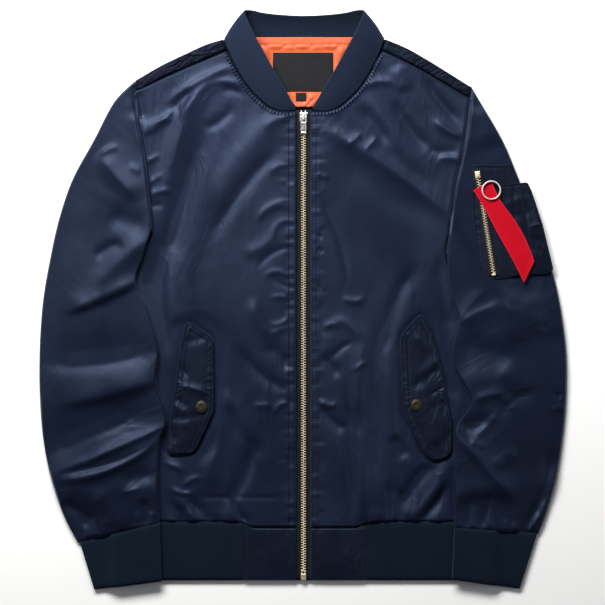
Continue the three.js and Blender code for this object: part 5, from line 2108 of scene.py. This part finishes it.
@dataclass
class Lining:
    """The quilted lining that shows in the neck."""

    inset: float = 3.4
    base: float = FRONT_BASE + 0.6
    puff: float = 3.4
    quilt: float = 34.0
    columns: int = 116
    rows: int = 64
    label: tuple[Place2, Place2] = ((0, 285), (75, 48))
    tab: Place2 = (-2.5, 254)

    def half_width(self, y: np.ndarray) -> np.ndarray:
        """Args: y: heights. Returns: half the width of the neck there."""
        seam = np.array(COLLAR_SEAM[1:10])[:, :2]
        return np.maximum(2, np.interp(y, seam[:, 1], seam[:, 0]) - self.inset)

    def height(self, x: np.ndarray, y: np.ndarray) -> np.ndarray:
        """Works out the puffed cells between the quilting.

        Args:
            x, y: Places.

        Returns:
            The height of the lining's outside there.
        """
        (cx, cy), (width, height) = self.label
        off = np.maximum(np.abs(x - cx) - width / 2, np.abs(y - cy) - height / 2)
        free = smoothstep(off, 1, 9) * smoothstep(np.hypot(x - self.tab[0], y - self.tab[1]), 7, 13)
        one = np.abs(np.sin(math.pi * (x + y) / self.quilt))
        other = np.abs(np.sin(math.pi * (x - y) / self.quilt))
        cell = np.sqrt(one * other)
        edge = np.array(COLLAR_EDGE[:10])[:, :2]
        free = free * smoothstep(np.interp(y, edge[:, 1], edge[:, 0]) - np.abs(x - COLLAR_X), -5, 7)
        facing = y > 318
        wrinkle = Unevenness(90).crumple(x, y, 7, 70) * 0.6
        z = self.base + free * np.where(facing, 0.9, self.puff * cell) + free * wrinkle
        z = z - 0.9 * np.exp(-(((y - 318) / 1.3) ** 2))
        return z + 0.4

    def place(self, s: np.ndarray, t: np.ndarray) -> np.ndarray:
        """Places a point of the lining.

        Args:
            s, t: Shares across and up.

        Returns:
            Places in space.
        """
        low, high = COLLAR_SEAM[1][1] + 4.5, 328.2
        y = low + t * (high - low)
        x = COLLAR_X + self.half_width(y) * (2 * s - 1)
        return np.column_stack([x, y, self.height(x, y)])

    def seams(self) -> list[Run]:
        """Returns: the quilting's rows of stitches and the one below the neck."""
        lines = []
        for turn in (1, -1):
            for k in range(-16, 24):
                pts = []
                for y in np.arange(244, 317, 3.0):
                    x = self.quilt * k - y if turn == 1 else y - self.quilt * k
                    room = float(self.half_width(np.array(y))) - 3
                    (cx, cy), (w, h) = self.label
                    over_label = abs(x - cx) < w / 2 + 3 and abs(y - cy) < h / 2 + 3
                    if abs(x - COLLAR_X) < room and not over_label:
                        pts.append((x, y))
                    elif len(pts) > 2:
                        lines.append(Run(pts, smooth=False))
                        pts = []
                    else:
                        pts = []
                if len(pts) > 2:
                    lines.append(Run(pts, smooth=False))
        lines.append(Run([(-86, 316.6), (89, 316.6)], smooth=False))
        return lines

    def build(self) -> bpy.types.Object:
        """Returns: the lining, dressed."""
        piece = cloth("quilted_lining", self.columns, self.rows, self.place, (0.19, 0.09))
        thicken(piece, 0.9)
        dress(piece, QUILT, ["lining"])
        return piece


@dataclass
class Tag:
    """A plain woven label sewn to the lining.

    Attributes:
        name: The piece's name.
        node: The solid that it stands for.
        middle: Where its middle lies.
        size: Its width and height.
        folded: Whether it is a doubled loop, which leaves out the stitched dent inside its edge.
    """

    name: str
    node: str
    middle: Place2
    size: Place2
    base: float = 5.0
    folded: bool = False

    def place(self, s: np.ndarray, t: np.ndarray) -> np.ndarray:
        """Places a point of the tag.

        Args:
            s, t: Shares across and up.

        Returns:
            Places in space.
        """
        s = np.interp(s, [0, 0.12, 0.88, 1], [0, 0.03, 0.97, 1])
        t = np.interp(t, [0, 0.12, 0.88, 1], [0, 0.03, 0.97, 1])
        x = self.middle[0] + (s - 0.5) * self.size[0]
        y = self.middle[1] + (t - 0.5) * self.size[1]
        near = np.minimum(np.minimum(s, 1 - s) * self.size[0], np.minimum(t, 1 - t) * self.size[1])
        wave = Unevenness(95).at(x / 19, y / 15) * 0.35
        z = self.base + 0.75 - turned_in(near, 0.6) + wave * smoothstep(near, 1, 8)
        z = z - 0.28 * np.exp(-(((near - 1.6) / 0.5) ** 2)) * (0 if self.folded else 1)
        return np.column_stack([x, y, z])

    def build(self) -> bpy.types.Object:
        """Returns: the label, dressed."""
        size = (self.size[0] * MM, self.size[1] * MM)
        cells = (max(20, int(self.size[0])), max(16, int(self.size[1])))
        piece = cloth(self.name, *cells, self.place, size)
        thicken(piece, 0.5)
        dress(piece, LABEL_CLOTH, [self.node])
        return piece


# ---------------------------------------------------------------------------------------------
# Closure
# ---------------------------------------------------------------------------------------------


def block(
    bm: bmesh.types.BMesh, low: Sequence[float], high: Sequence[float], bevel: float = 0.3
) -> list:
    """Adds a bevelled block.

    Args:
        bm: What it is added to.
        low: Its low corner, in millimetres.
        high: Its high corner.
        bevel: Width of its bevels.

    Returns:
        Its vertices.
    """
    low, high = Vector(low) * MM, Vector(high) * MM
    size = high - low
    place = Matrix.Translation((low + high) / 2) @ Matrix.Diagonal((*size, 1))
    made = bmesh.ops.create_cube(bm, size=1.0, matrix=place, calc_uvs=True)["verts"]
    edges = list({edge for vert in made for edge in vert.link_edges})
    if bevel:
        cut = bmesh.ops.bevel(
            bm, geom=edges, offset=bevel * MM, offset_type="OFFSET", segments=2, profile=0.5,
            affect="EDGES", material=-1, clamp_overlap=True,
        )
        made = list({vert for side in cut["faces"] for vert in side.verts})
    return made


@dataclass
class ZipTape:
    """The woven tape on one side of the zip, from the teeth in under the front's edge."""

    half: Half

    def place(self, s: np.ndarray, t: np.ndarray) -> np.ndarray:
        """Places a point of the tape.

        Args:
            s, t: Shares across and up.

        Returns:
            Places in space.
        """
        sign = self.half.sign
        x = ZIP_X + sign * (2.6 + s * 7.6)
        y = HEM_LOW + t * (ZIP_TOP + 1.5 - HEM_LOW)
        cord = 0.7 * np.exp(-(((s * 7.6 - 1.0) / 0.8) ** 2))
        return np.column_stack([x, y, FRONT_BASE + 0.8 + cord])

    def build(self) -> bpy.types.Object:
        """Returns: the tape, dressed."""
        word = self.half.side.word
        piece = cloth(f"zip_tape_cloth_{word}", 12, 120, self.place, (0.0076, 0.585))
        thicken(piece, 0.6)
        dress(piece, TAPE, [f"zip_tape_{word}"])
        return piece


@dataclass
class ZipTeeth:
    """A row of interlocked metal teeth.

    Attributes:
        start: Its low end.
        end: Its high end.
        width: Of the closed chain.
        pitch: Between two teeth of one side.
        base: Height of the teeth's undersides.
        rise: Their height.
    """

    start: Place2
    end: Place2
    width: float = CHAIN_WIDTH
    pitch: float = 3.1
    base: float = FRONT_BASE + 0.5
    rise: float = 2.4

    def build_in(self, bm: bmesh.types.BMesh) -> None:
        """Adds one row of teeth for each side.

        Args:
            bm: What the teeth are added to.
        """
        along = Vector((*self.end, 0)) - Vector((*self.start, 0))
        length = along.length
        angle = math.atan2(-along.x, along.y)
        shift = Matrix.Translation(Vector((*self.start, 0)) * MM)
        frame_at = shift @ Matrix.Rotation(angle, 4, "Z")
        tooth = bmesh.new()
        half = self.width / 2
        block(tooth, (-0.7, -0.5, self.base), (half, 0.5, self.base + self.rise), 0.0)
        edges = [e for e in tooth.edges if max(v.co.z for v in e.verts) > self.base * MM + 1e-4]
        bmesh.ops.bevel(
            tooth, geom=edges, offset=0.26 * MM, offset_type="OFFSET", segments=1, profile=0.5,
            affect="EDGES", material=-1, clamp_overlap=True,
        )
        template = bpy.data.meshes.new("tooth")
        tooth.to_mesh(template)
        tooth.free()
        row = bpy.data.objects.new("teeth", template)
        bpy.context.scene.collection.objects.link(row)
        count = int(length / self.pitch)
        many = row.modifiers.new("row", "ARRAY")
        many.count = count
        many.use_relative_offset = False
        many.use_constant_offset = True
        many.constant_offset_displace = (0, self.pitch * MM, 0)
        graph = bpy.context.evaluated_depsgraph_get()
        whole = bpy.data.meshes.new_from_object(row.evaluated_get(graph))
        for turn, shift in ((1, 0.25), (-1, 0.75)):
            before = set(bm.verts)
            bm.from_mesh(whole)
            new = [vert for vert in bm.verts if vert not in before]
            place = frame_at @ Matrix.Translation((0, shift * self.pitch * MM, 0))
            bmesh.ops.transform(bm, matrix=place @ Matrix.Diagonal((turn, 1, 1, 1)), verts=new)
            if turn < 0:
                sides = {side for vert in new for side in vert.link_faces}
                bmesh.ops.reverse_faces(bm, faces=list(sides))
        bpy.data.objects.remove(row)


@dataclass
class Closure:
    """The front zip: teeth, stops, box, slider and pull tab."""

    slider_y: float = 228.0
    hinge: tuple[float, float, float] = (ZIP_X, 228.0, 9.9)
    tilt: float = 5.5

    def chain(self) -> bpy.types.Object:
        """Returns: the teeth, with the pin box at the low end and a stop above each side."""
        bm = bmesh.new()
        bm.loops.layers.uv.new("cut")
        ZipTeeth((ZIP_X, HEM_LOW + 11), (ZIP_X, ZIP_TOP - 2)).build_in(bm)
        x = ZIP_X
        block(bm, (x - 3.3, HEM_LOW + 0.6, 4.2), (x + 3.3, HEM_LOW + 8.5, 6.8), 0.6)
        block(bm, (x - 2.9, HEM_LOW + 8.2, 4.2), (x - 0.9, HEM_LOW + 12.5, 6.4), 0.4)
        block(bm, (x + 0.7, HEM_LOW + 8.2, 4.2), (x + 2.9, HEM_LOW + 12.5, 6.4), 0.4)
        for sign in (-1, 1):
            near, far = sorted((x + sign * 1.6, x + sign * 3.3))
            block(bm, (near, ZIP_TOP - 1.8, 4.2), (far, ZIP_TOP + 0.6, 6.4), 0.4)
        piece = to_object("zip_teeth", bm)
        return dress(piece, BRASS, ["zip_chain"])

    def slider(self) -> bpy.types.Object:
        """Returns: the slider body, flared where it parts the teeth, with its bridge."""
        x, y = ZIP_X, self.slider_y
        bm = bmesh.new()
        bm.loops.layers.uv.new("cut")
        plate = block(bm, (x - 4.8, y - 6, 6.6), (x + 4.8, y + 6, 8.1), 0.5)
        for vert in plate:
            share = (vert.co.y / MM - y) / 6
            vert.co.x = (x + (vert.co.x / MM - x) * (0.80 + 0.2 * max(share, -0.6))) * MM
        block(bm, (x - 1.3, y + 1.5, 8.0), (x + 1.3, y + 5.2, 8.9), 0.4)
        for sign in (-1, 1):
            near, far = sorted((x + sign * 3.7, x + sign * 4.6))
            block(bm, (near, y - 5.2, 4.7), (far, y + 5.4, 6.9), 0.35)
        for low, high in ((-3.2, -1.9), (1.9, 3.2)):
            block(bm, (x - 1.2, y + low, 7.9), (x + 1.2, y + high, 12.2), 0.35)
        block(bm, (x - 1.2, y - 3.2, 11.1), (x + 1.2, y + 3.2, 12.4), 0.45)
        piece = to_object("zip_slider_body", bm)
        return dress(piece, SILVER, ["zip_slider"])

    def pull(self) -> bpy.types.Object:
        """Returns: the pull tab with its eye round the bridge, a slot and a raised rim."""
        bm = bmesh.new()
        bm.loops.layers.uv.new("cut")
        bar = Matrix.Rotation(math.pi / 2, 4, "Y")
        bmesh.ops.create_cone(
            bm, cap_ends=True, segments=16, radius1=0.8 * MM, radius2=0.8 * MM, depth=7.0 * MM,
            matrix=bar, calc_uvs=True,
        )
        for sign in (-1, 1):
            near, far = sorted((sign * 2.0, sign * 3.6))
            block(bm, (near, -7.0, -0.8), (far, 0.8, 0.8), 0.4)
        block(bm, (-3.6, -9.2, -0.8), (3.6, -6.0, 0.8), 0.4)
        for sign in (-1, 1):
            near, far = sorted((sign * 2.2, sign * 3.6))
            block(bm, (near, -20.9, -0.8), (far, -8.4, 0.8), 0.35)
        block(bm, (-3.6, -20.9, -0.8), (3.6, -18.2, 0.8), 0.4)
        block(bm, (-2.6, -18.8, -0.55), (2.6, -8.8, 0.35), 0.2)
        bmesh.ops.transform(
            bm,
            matrix=Matrix.Translation(Vector(self.hinge) * MM)
            @ Matrix.Rotation(math.radians(self.tilt), 4, "X"),
            verts=bm.verts[:],
        )
        piece = to_object("zip_pull_tab", bm)
        return dress(piece, SILVER, ["zip_pull"], body="zip_pull")


# ---------------------------------------------------------------------------------------------
# Pockets
# ---------------------------------------------------------------------------------------------


def soft_outline(corners: Sequence[Place2], radius: float) -> Run:
    """A closed outline with round corners.

    Args:
        corners: Its corners in turn.
        radius: How much of each side a corner's round takes.

    Returns:
        The outline, starting and ending in the middle of its first side.
    """
    spots = [np.array(corner, float) for corner in corners]
    line = [(spots[0] + spots[1]) / 2]
    for i in range(1, len(spots) + 1):
        before, at, after = spots[i - 1], spots[i % len(spots)], spots[(i + 1) % len(spots)]
        start = at + (before - at) * min(radius / np.linalg.norm(before - at), 0.45)
        end = at + (after - at) * min(radius / np.linalg.norm(after - at), 0.45)
        for t in np.linspace(0, 1, 7):
            line.append((1 - t) ** 2 * start + 2 * t * (1 - t) * at + t * t * end)
    line.append(line[0])
    return Run(line, smooth=False)


@dataclass
class Pad:
    """A doubled piece of cloth with a turned edge, such as a flap or a patch.

    Attributes:
        name: The piece's name.
        node: The solid that it stands for.
        corners: Its outline.
        radius: Of its corners.
        base: Height of its underside.
        thickness: From there to its top.
        rows: Distances of its rows of stitches from the edge.
        seed: Of its unevenness.
        crown: How much its middle stands up.
        area: Of its cut, in square metres; not used.
        creases: Folds across it.
        pucker: How much its edge is gathered by the stitches.
        finish: What it is made of.
    """

    name: str
    node: str
    corners: tuple[Place2, ...]
    radius: float
    base: float
    thickness: float
    rows: tuple[float, ...]
    seed: int
    crown: float = 0.6
    area: float = 0.005
    creases: tuple[Fold, ...] = ()
    pucker: float = 0.34
    finish: Finish = TRIM_NYLON

    def __post_init__(self) -> None:
        """Works out its outline and its middle."""
        self.outline = soft_outline(self.corners, self.radius)
        self.middle = np.mean(self.outline.points, axis=0)
        self.noise = Unevenness(self.seed)

    def place(self, u: np.ndarray, v: np.ndarray) -> np.ndarray:
        """Places a point of the pad, with its crown and creases.

        Args:
            u, v: Shares round the piece, and from its middle over the edge to its underside.

        Returns:
            Places in space.
        """
        share = np.interp(v, [0, 0.5, 0.78, 0.86, 1.0], [0, 0.72, 0.985, 1.0, 0.9])
        under = v > 0.86
        rim = self.outline.at(u)
        at = self.middle + (rim - self.middle) * share[:, None]
        x, y = at[:, 0], at[:, 1]
        near = np.where(under, 0.0, self.outline.distance(x, y))
        top = self.base + self.thickness - turned_in(near, 0.9) * 0.9
        top = top + self.crown * smoothstep(near, 2, 24)
        top = top + relief(self.creases, x, y) * smoothstep(near, 0, 5)
        for row in self.rows:
            top = top - 0.6 * np.exp(-(((near - row) / 1.0) ** 2))
        ripple = self.noise.at(u * self.outline.length / 3.2, near / 9) * self.pucker
        top = top + ripple * np.exp(-(((near - 4) / 5) ** 2)) * smoothstep(near, 0.3, 2)
        top = top + self.noise.crumple(x, y, 9, 35) * 0.3 * smoothstep(near, 3, 12)
        z = np.where(under, self.base, np.maximum(top, self.base + 0.3))
        return np.column_stack([at, z])

    def build(self) -> bpy.types.Object:
        """Returns: the piece, dressed."""
        around = int(self.outline.length / 1.7)
        piece = cloth(
            self.name, around, 30, self.place, (self.outline.length * MM, 0.04), Facing.AROUND,
            closed=True,
        )
        dress(piece, self.finish, [self.node])
        thicken(piece, 0.5)
        return piece

    def seams(self) -> list[Run]:
        """Returns: its rows of stitches, all round."""
        turn = np.sign(np.cross(
            self.outline.points[1] - self.outline.points[0],
            self.middle - self.outline.points[0],
        ))
        return [self.outline.moved(float(turn) * row) for row in self.rows]


@dataclass
class Snap:
    """The dark cap of a snap, with its rolled rim and dished middle."""

    side: Side
    radius: float = 7.5
    height: float = 2.6

    def build(self) -> bpy.types.Object:
        """Returns: the snap, dressed."""
        r, h = self.radius, self.height
        profile = (
            (0.0, h * 0.86), (r * 0.3, h * 0.9), (r * 0.55, h), (r * 0.74, h * 0.92),
            (r * 0.80, h * 0.72), (r * 0.85, h * 0.70), (r * 0.91, h * 0.80), (r * 0.97, h * 0.66),
            (r, h * 0.36), (r * 0.97, 0.02),
        )
        bm = bmesh.new()
        bm.loops.layers.uv.new("cut")
        spots = [bm.verts.new((x * MM, 0, z * MM)) for x, z in profile]
        edges = [bm.edges.new(pair) for pair in zip(spots, spots[1:])]
        bmesh.ops.spin(
            bm, geom=[*spots, *edges], axis=(0, 0, 1), cent=(0, 0, 0), angle=math.tau, steps=40,
            use_merge=True, dvec=(0, 0, 0), space=Matrix.Identity(4), use_duplicate=False,
        )
        bmesh.ops.remove_doubles(bm, verts=bm.verts[:], dist=1e-6)
        bmesh.ops.recalc_face_normals(bm, faces=bm.faces[:])
        x, y = FLAPS[self.side].snap
        seat = FRONT_TOP + GAP + 4.3
        bmesh.ops.translate(bm, verts=bm.verts[:], vec=(x * MM, y * MM, seat * MM))
        piece = to_object(f"snap_cap_{self.side.word}", bm)
        face(piece.data, Facing.UP)
        piece.data.shade_smooth()
        return dress(piece, DARK_BRASS, [f"snap_{self.side.word}"])


RIBBON_MARKS = (0.01, 0.12, 0.25, 0.38, 0.5, 0.62, 0.75, 0.88, 0.985)


@dataclass
class SleevePocket:
    """The zip pocket on the left sleeve, with the pen pocket, the key ribbon and its ring."""

    patch_base: float = 2 * WALL + SLEEVE_SLACK + 2 * GAP
    zip_top: Place2 = (216, 164)
    zip_low: Place2 = (237.5, 31.5)
    ring: Place2 = (234, 137)
    ring_radius: float = 11.2

    @property
    def on_patch(self) -> float:
        """Height of what lies on the patch."""
        return self.patch_base + 1.2 + GAP

    @property
    def ribbon_base(self) -> float:
        """Height of the ribbon's underside."""
        return self.on_patch + 2.1

    def patch(self) -> Pad:
        """Returns: the pocket's base patch."""
        return Pad(
            name="sleeve_pocket_patch", node="sleeve_pocket",
            corners=(
                (212, 169), (260.5, 168.5), (281, 120), (305, 42), (305, 33), (284, 31), (245, 27),
                (221, 24), (215, 82), (211, 122),
            ),
            radius=1.5, base=self.patch_base, thickness=1.2, rows=(2.0,), seed=61, crown=0.0,
            area=0.0101, finish=POCKET_NYLON,
        )

    def pen(self) -> Pad:
        """Returns: the pen pocket, which steps out past the sleeve's edge."""
        return Pad(
            name="pen_pocket_cloth", node="pen_pocket",
            corners=(
                (244, 144), (279.5, 147.5), (284, 138), (298, 96), (312, 38), (304, 33),
                (284, 32.5), (257, 30), (250, 90),
            ),
            radius=2.5, base=self.on_patch, thickness=1.4, rows=(2.2,), seed=63, crown=0.5,
            area=0.0056, finish=POCKET_NYLON,
            creases=(
                Fold((262, 143), (268, 36), 2, 2.2, -0.8),
                Fold((276, 140), (285, 36), 2, 2.2, -0.8),
                Fold((282, 92), (304, 100), 1, 3, 1.2, 1.5), Fold((272, 62), (302, 56), 2, 5, 0.9),
                Fold((252, 118), (284, 128), -2, 4, 1.1, 1.6),
                Fold((262, 104), (286, 112), 0, 5, -1),
                Fold((284, 78), (306, 72), 0, 4, -1.0),
            ),
        )

    def pen_seams(self) -> list[Run]:
        """Returns: the stitches that part the pen pocket into pen slots."""
        return [
            Run([(261, 144), (264, 90), (268, 34)]),
            Run([(275, 144), (279, 92), (286, 34)]),
            Run([(246, 138), (284, 140)], smooth=False),
        ]

    def zip(self) -> list[bpy.types.Object]:
        """Returns: the pocket's zip: its tape, and its teeth with the slider."""
        low, top = Vector(self.zip_low), Vector(self.zip_top)
        along = top - low
        length, angle = along.length, math.atan2(-along.x, along.y)
        c, s = math.cos(angle), math.sin(angle)

        def place(across: np.ndarray, up: np.ndarray) -> np.ndarray:
            """Places a point of the tape.

            Args:
                across, up: Shares of the tape.

            Returns:
                Places in space.
            """
            x, y = (across - 0.5) * 12, up * length
            z = self.on_patch + 0.75 + 0.5 * np.exp(-((x / 3.2) ** 4)) - turned_in(
                np.minimum(across, 1 - across) * 12, 0.5
            )
            return np.column_stack([low.x + x * c - y * s, low.y + x * s + y * c, z])

        tape = cloth("pocket_zip_tape", 20, 90, place, (0.012, length * MM))
        thicken(tape, 0.5)
        dress(tape, TAPE)
        bm = bmesh.new()
        bm.loops.layers.uv.new("cut")
        start, end = low + along * 0.02, low + along * 0.97
        base = self.on_patch + 0.5
        ZipTeeth(tuple(start), tuple(end), 5.4, 3.3, base, 1.5).build_in(bm)
        before = set(bm.verts)
        block(bm, (-3.1, length - 12, base), (3.1, length - 3.4, base + 2.3), 0.5)
        block(bm, (-1.2, length - 10.5, base + 2.1), (1.2, length - 5.5, base + 3.6), 0.5)
        block(bm, (-2.5, -0.6, base - 0.2), (2.5, 1.8, base + 1.7), 0.4)
        new = [vert for vert in bm.verts if vert not in before]
        at = Matrix.Translation((low.x * MM, low.y * MM, 0)) @ Matrix.Rotation(angle, 4, "Z")
        bmesh.ops.transform(bm, matrix=at, verts=new)
        teeth = to_object("pocket_zip_teeth", bm)
        dress(teeth, BRASS, ["pocket_zip"])
        return [tape, teeth]

    def ribbon_edges(self) -> tuple[Run, Run]:
        """Returns: the ribbon's two edges, from its ring down to its slanted end."""
        left = Run([(211.5, 137), (224, 117), (241, 85), (261, 49), (275, 21)])
        right = Run([(234, 149.5), (246, 124), (263, 101), (277, 77), (288, 49)])
        return left, right

    def ribbon(self) -> bpy.types.Object:
        """Returns: the red key ribbon with its slanted end and its stitched edges."""
        left, right = self.ribbon_edges()
        noise = Unevenness(83)

        def place(s: np.ndarray, t: np.ndarray) -> np.ndarray:
            """Places a point of the ribbon.

            Args:
                s, t: Shares across and down.

            Returns:
                Places in space.
            """
            a, b = left.at(t), right.at(t)
            at = a + (b - a) * s[:, None]
            near = np.minimum(s, 1 - s) * 22
            curl = 0.9 * np.sin(math.pi * t * 2.4) * (s - 0.4) + noise.at(t * 6, s) * 0.25
            z = self.ribbon_base + 1.1 + curl - turned_in(near, 0.45)
            z = z + 0.9 * smoothstep(t, 0.9, 1.0) * smoothstep(s, 0.2, 1.0)
            return np.column_stack([at, z])

        piece = cloth("key_ribbon_red", 26, 110, place, (0.0235, 0.13))
        thicken(piece, 0.9)
        dress(piece, RED, ["key_ribbon"])
        rows = []
        for share in (0.045, 0.955):
            spots = [left.at(t) + (right.at(t) - left.at(t)) * share for t in RIBBON_MARKS]
            rows.append(Run(spots, smooth=False))
        low = [left.at(0.985) + (right.at(0.985) - left.at(0.985)) * t for t in (0.06, 0.94)]
        rows.append(Run(low, smooth=False))
        Needle(pitch=2.3, length=2.3, thread=0.9).sew("ribbon_stitches", rows, [piece], PINK_THREAD)
        return piece

    def split_ring(self) -> bpy.types.Object:
        """Returns: the split ring, two turns of flat wire."""
        bm = bmesh.new()
        bm.loops.layers.uv.new("cut")
        steps, wire = 120, 0.85
        rise = self.ribbon_base + 1.1 + GAP + 1.0
        section = [(wire, 0.55), (wire, -0.55), (-wire, -0.55), (-wire, 0.55)]
        for turn, (radius, lift) in enumerate(((self.ring_radius, 0.0), (self.ring_radius, 1.15))):
            spots = []
            for across, up in section:
                spots.append(bm.verts.new(((radius + across) * MM, 0, (rise + lift + up) * MM)))
            edges = [bm.edges.new((spots[i], spots[(i + 1) % 4])) for i in range(4)]
            bmesh.ops.spin(
                bm, geom=[*spots, *edges], axis=(0, 0, 1), cent=(0, 0, 0), angle=math.tau,
                steps=steps // 2, use_merge=True, dvec=(0, 0, 0), space=Matrix.Identity(4),
                use_duplicate=False,
            )
        bmesh.ops.recalc_face_normals(bm, faces=bm.faces[:])
        bmesh.ops.translate(bm, verts=bm.verts[:], vec=(self.ring[0] * MM, self.ring[1] * MM, 0))
        piece = to_object("split_ring", bm)
        soften = piece.modifiers.new("edges", "BEVEL")
        soften.width = 0.0002
        soften.segments = 2
        piece.data.shade_smooth()
        return dress(piece, WIRE, ["key_ring"])


# ---------------------------------------------------------------------------------------------
# Studio
# ---------------------------------------------------------------------------------------------


@dataclass(frozen=True)
class Studio:
    """A pale floor, soft lights and the camera straight above."""

    floor_tone: float = 0.97
    distance: float = 2.4
    frame_width: float = 0.756
    middle: Place2 = (-0.0006, -0.0025)

    def build(self) -> None:
        """Sets up the floor, the lights, the surroundings and the camera."""
        bm = bmesh.new()
        bmesh.ops.create_grid(bm, x_segments=1, y_segments=1, size=6.0)
        floor = to_object("floor", bm)
        floor.data.materials.append(self.floor_finish())
        self.light("key", (-0.37, 1.02, 0.92), (1.1, 0.45), 45, (1.0, 0.99, 0.97))
        self.light("right", (-1.6, -0.1, 0.75), (0.5, 1.4), 3.2, (0.94, 0.96, 1.0))
        self.light("left", (1.6, -0.1, 0.75), (0.5, 1.4), 4.8, (0.94, 0.96, 1.0))
        world = bpy.data.worlds.new("studio")
        world.use_nodes = True
        back = world.node_tree.nodes["Background"]
        back.inputs["Color"].default_value = (0.93, 0.95, 1.0, 1)
        back.inputs["Strength"].default_value = 0.06
        bpy.context.scene.world = world
        bpy.context.scene.view_settings.view_transform = "Standard"
        self.camera()

    def floor_finish(self) -> bpy.types.Material:
        """Returns: plain matte paper."""
        made = bpy.data.materials.new("floor_paper")
        made.use_nodes = True
        shader = made.node_tree.nodes["Principled BSDF"]
        shader.inputs["Base Color"].default_value = (self.floor_tone,) * 3 + (1,)
        shader.inputs["Roughness"].default_value = 0.9
        return made

    def light(
        self, name: str, at: Sequence[float], size: Place2, power: float, tint: tuple
    ) -> None:
        """Adds a soft box aimed at the jacket.

        Args:
            name: What it is called.
            at: Its place, in metres.
            size: Its width and height.
            power: In watts.
            tint: Its colour.
        """
        data = bpy.data.lights.new(name, "AREA")
        data.shape = "RECTANGLE"
        data.size, data.size_y = size
        data.energy = power
        data.color = tint
        made = bpy.data.objects.new(name, data)
        made.location = at
        made.rotation_euler = (-Vector(at)).to_track_quat("-Z", "Y").to_euler()
        bpy.context.scene.collection.objects.link(made)

    def camera(self) -> None:
        """Sets up the camera."""
        data = bpy.data.cameras.new("camera")
        data.sensor_width = 36.0
        data.lens = data.sensor_width * self.distance / self.frame_width
        made = bpy.data.objects.new("camera", data)
        made.location = (*self.middle, self.distance)
        bpy.context.scene.collection.objects.link(made)
        bpy.context.scene.camera = made


def build_shell() -> list[bpy.types.Object]:
    """Returns: the fronts, once the back, the fronts, the sleeves and their stitches are built."""
    BackPanel().build()
    fronts = []
    for half in (RIGHT, LEFT):
        panel = FrontPanel(half)
        piece = panel.build()
        fronts.append(piece)
        NEEDLE.sew(f"front_stitches_{half.side.word}", panel.seams(), [piece], STITCH_SHADE_THREAD)
        Sleeve(half).build()
    return fronts


def build_ribs(fronts: Sequence[bpy.types.Object]) -> None:
    """Builds the collar, the cuffs, the hem band and the hem's end panels.

    Args:
        fronts: The fronts, which the collar is sewn to.
    """
    collar = Collar()
    collar.build()
    Needle(pitch=3.0, length=4.6, thread=1.9, sunk=-0.55).sew(
        "collar_stitches", collar.seams(), fronts, STITCH_SHADE_THREAD
    )
    HemBand().build()
    for half in (RIGHT, LEFT):
        Cuff(half).build()
        end = HemEnd(half)
        piece = end.build()
        NEEDLE.sew(f"hem_end_stitches_{half.side.word}", end.seams(), [piece], THREAD)


def build_neck() -> None:
    """Builds the lining and its labels."""
    lining = Lining()
    cloth_piece = lining.build()
    Needle(pitch=3.0, length=2.3, thread=0.45).sew(
        "quilting_stitches", lining.seams(), [cloth_piece], ORANGE_THREAD
    )
    label = Tag("neck_label_cloth", "neck_label", (0, 285), (75, 48))
    tab = Tag("size_tab_cloth", "size_tab", (-2.5, 254), (13, 10), folded=True)
    for tag in (label, tab):
        tag.build()


def build_pockets() -> None:
    """Builds the flaps, the snaps and the sleeve pocket with all that is on it."""
    cut_areas = {Side.RIGHT: 0.0068, Side.LEFT: 0.0080}
    for side, cut in FLAPS.items():
        flap = Pad(
            name=f"flap_cloth_{side.word}", node=f"flap_{side.word}", corners=cut.outline,
            radius=9, base=FRONT_TOP + GAP + 1.5, thickness=2.4, rows=(2.2, 8.0),
            seed=41 + side.value, area=cut_areas[side], crown=1.4, creases=FLAP_FOLDS[side],
            pucker=0.7,
        )
        piece = flap.build()
        NEEDLE.sew(f"flap_stitches_{side.word}", flap.seams(), [piece], STITCH_SHADE_THREAD)
        Snap(side).build()
    pocket = SleevePocket()
    patch, pen = pocket.patch(), pocket.pen()
    patch_piece, pen_piece = patch.build(), pen.build()
    pocket.zip()
    seams = [*patch.seams(), *pen.seams(), *pocket.pen_seams()]
    NEEDLE.sew("pocket_stitches", seams, [patch_piece, pen_piece], STITCH_SHADE_THREAD)
    pocket.ribbon()
    pocket.split_ring()


def build_zip() -> None:
    """Builds the front zip."""
    for half in (RIGHT, LEFT):
        ZipTape(half).build()
    closure = Closure()
    closure.chain()
    closure.slider()
    closure.pull()


def main() -> None:
    """Builds the jacket in order."""
    logging.basicConfig(level=logging.INFO, format="%(name)s %(message)s")
    Studio().build()
    fronts = build_shell()
    build_ribs(fronts)
    build_neck()
    build_pockets()
    build_zip()


if __name__ == "__main__":
    main()
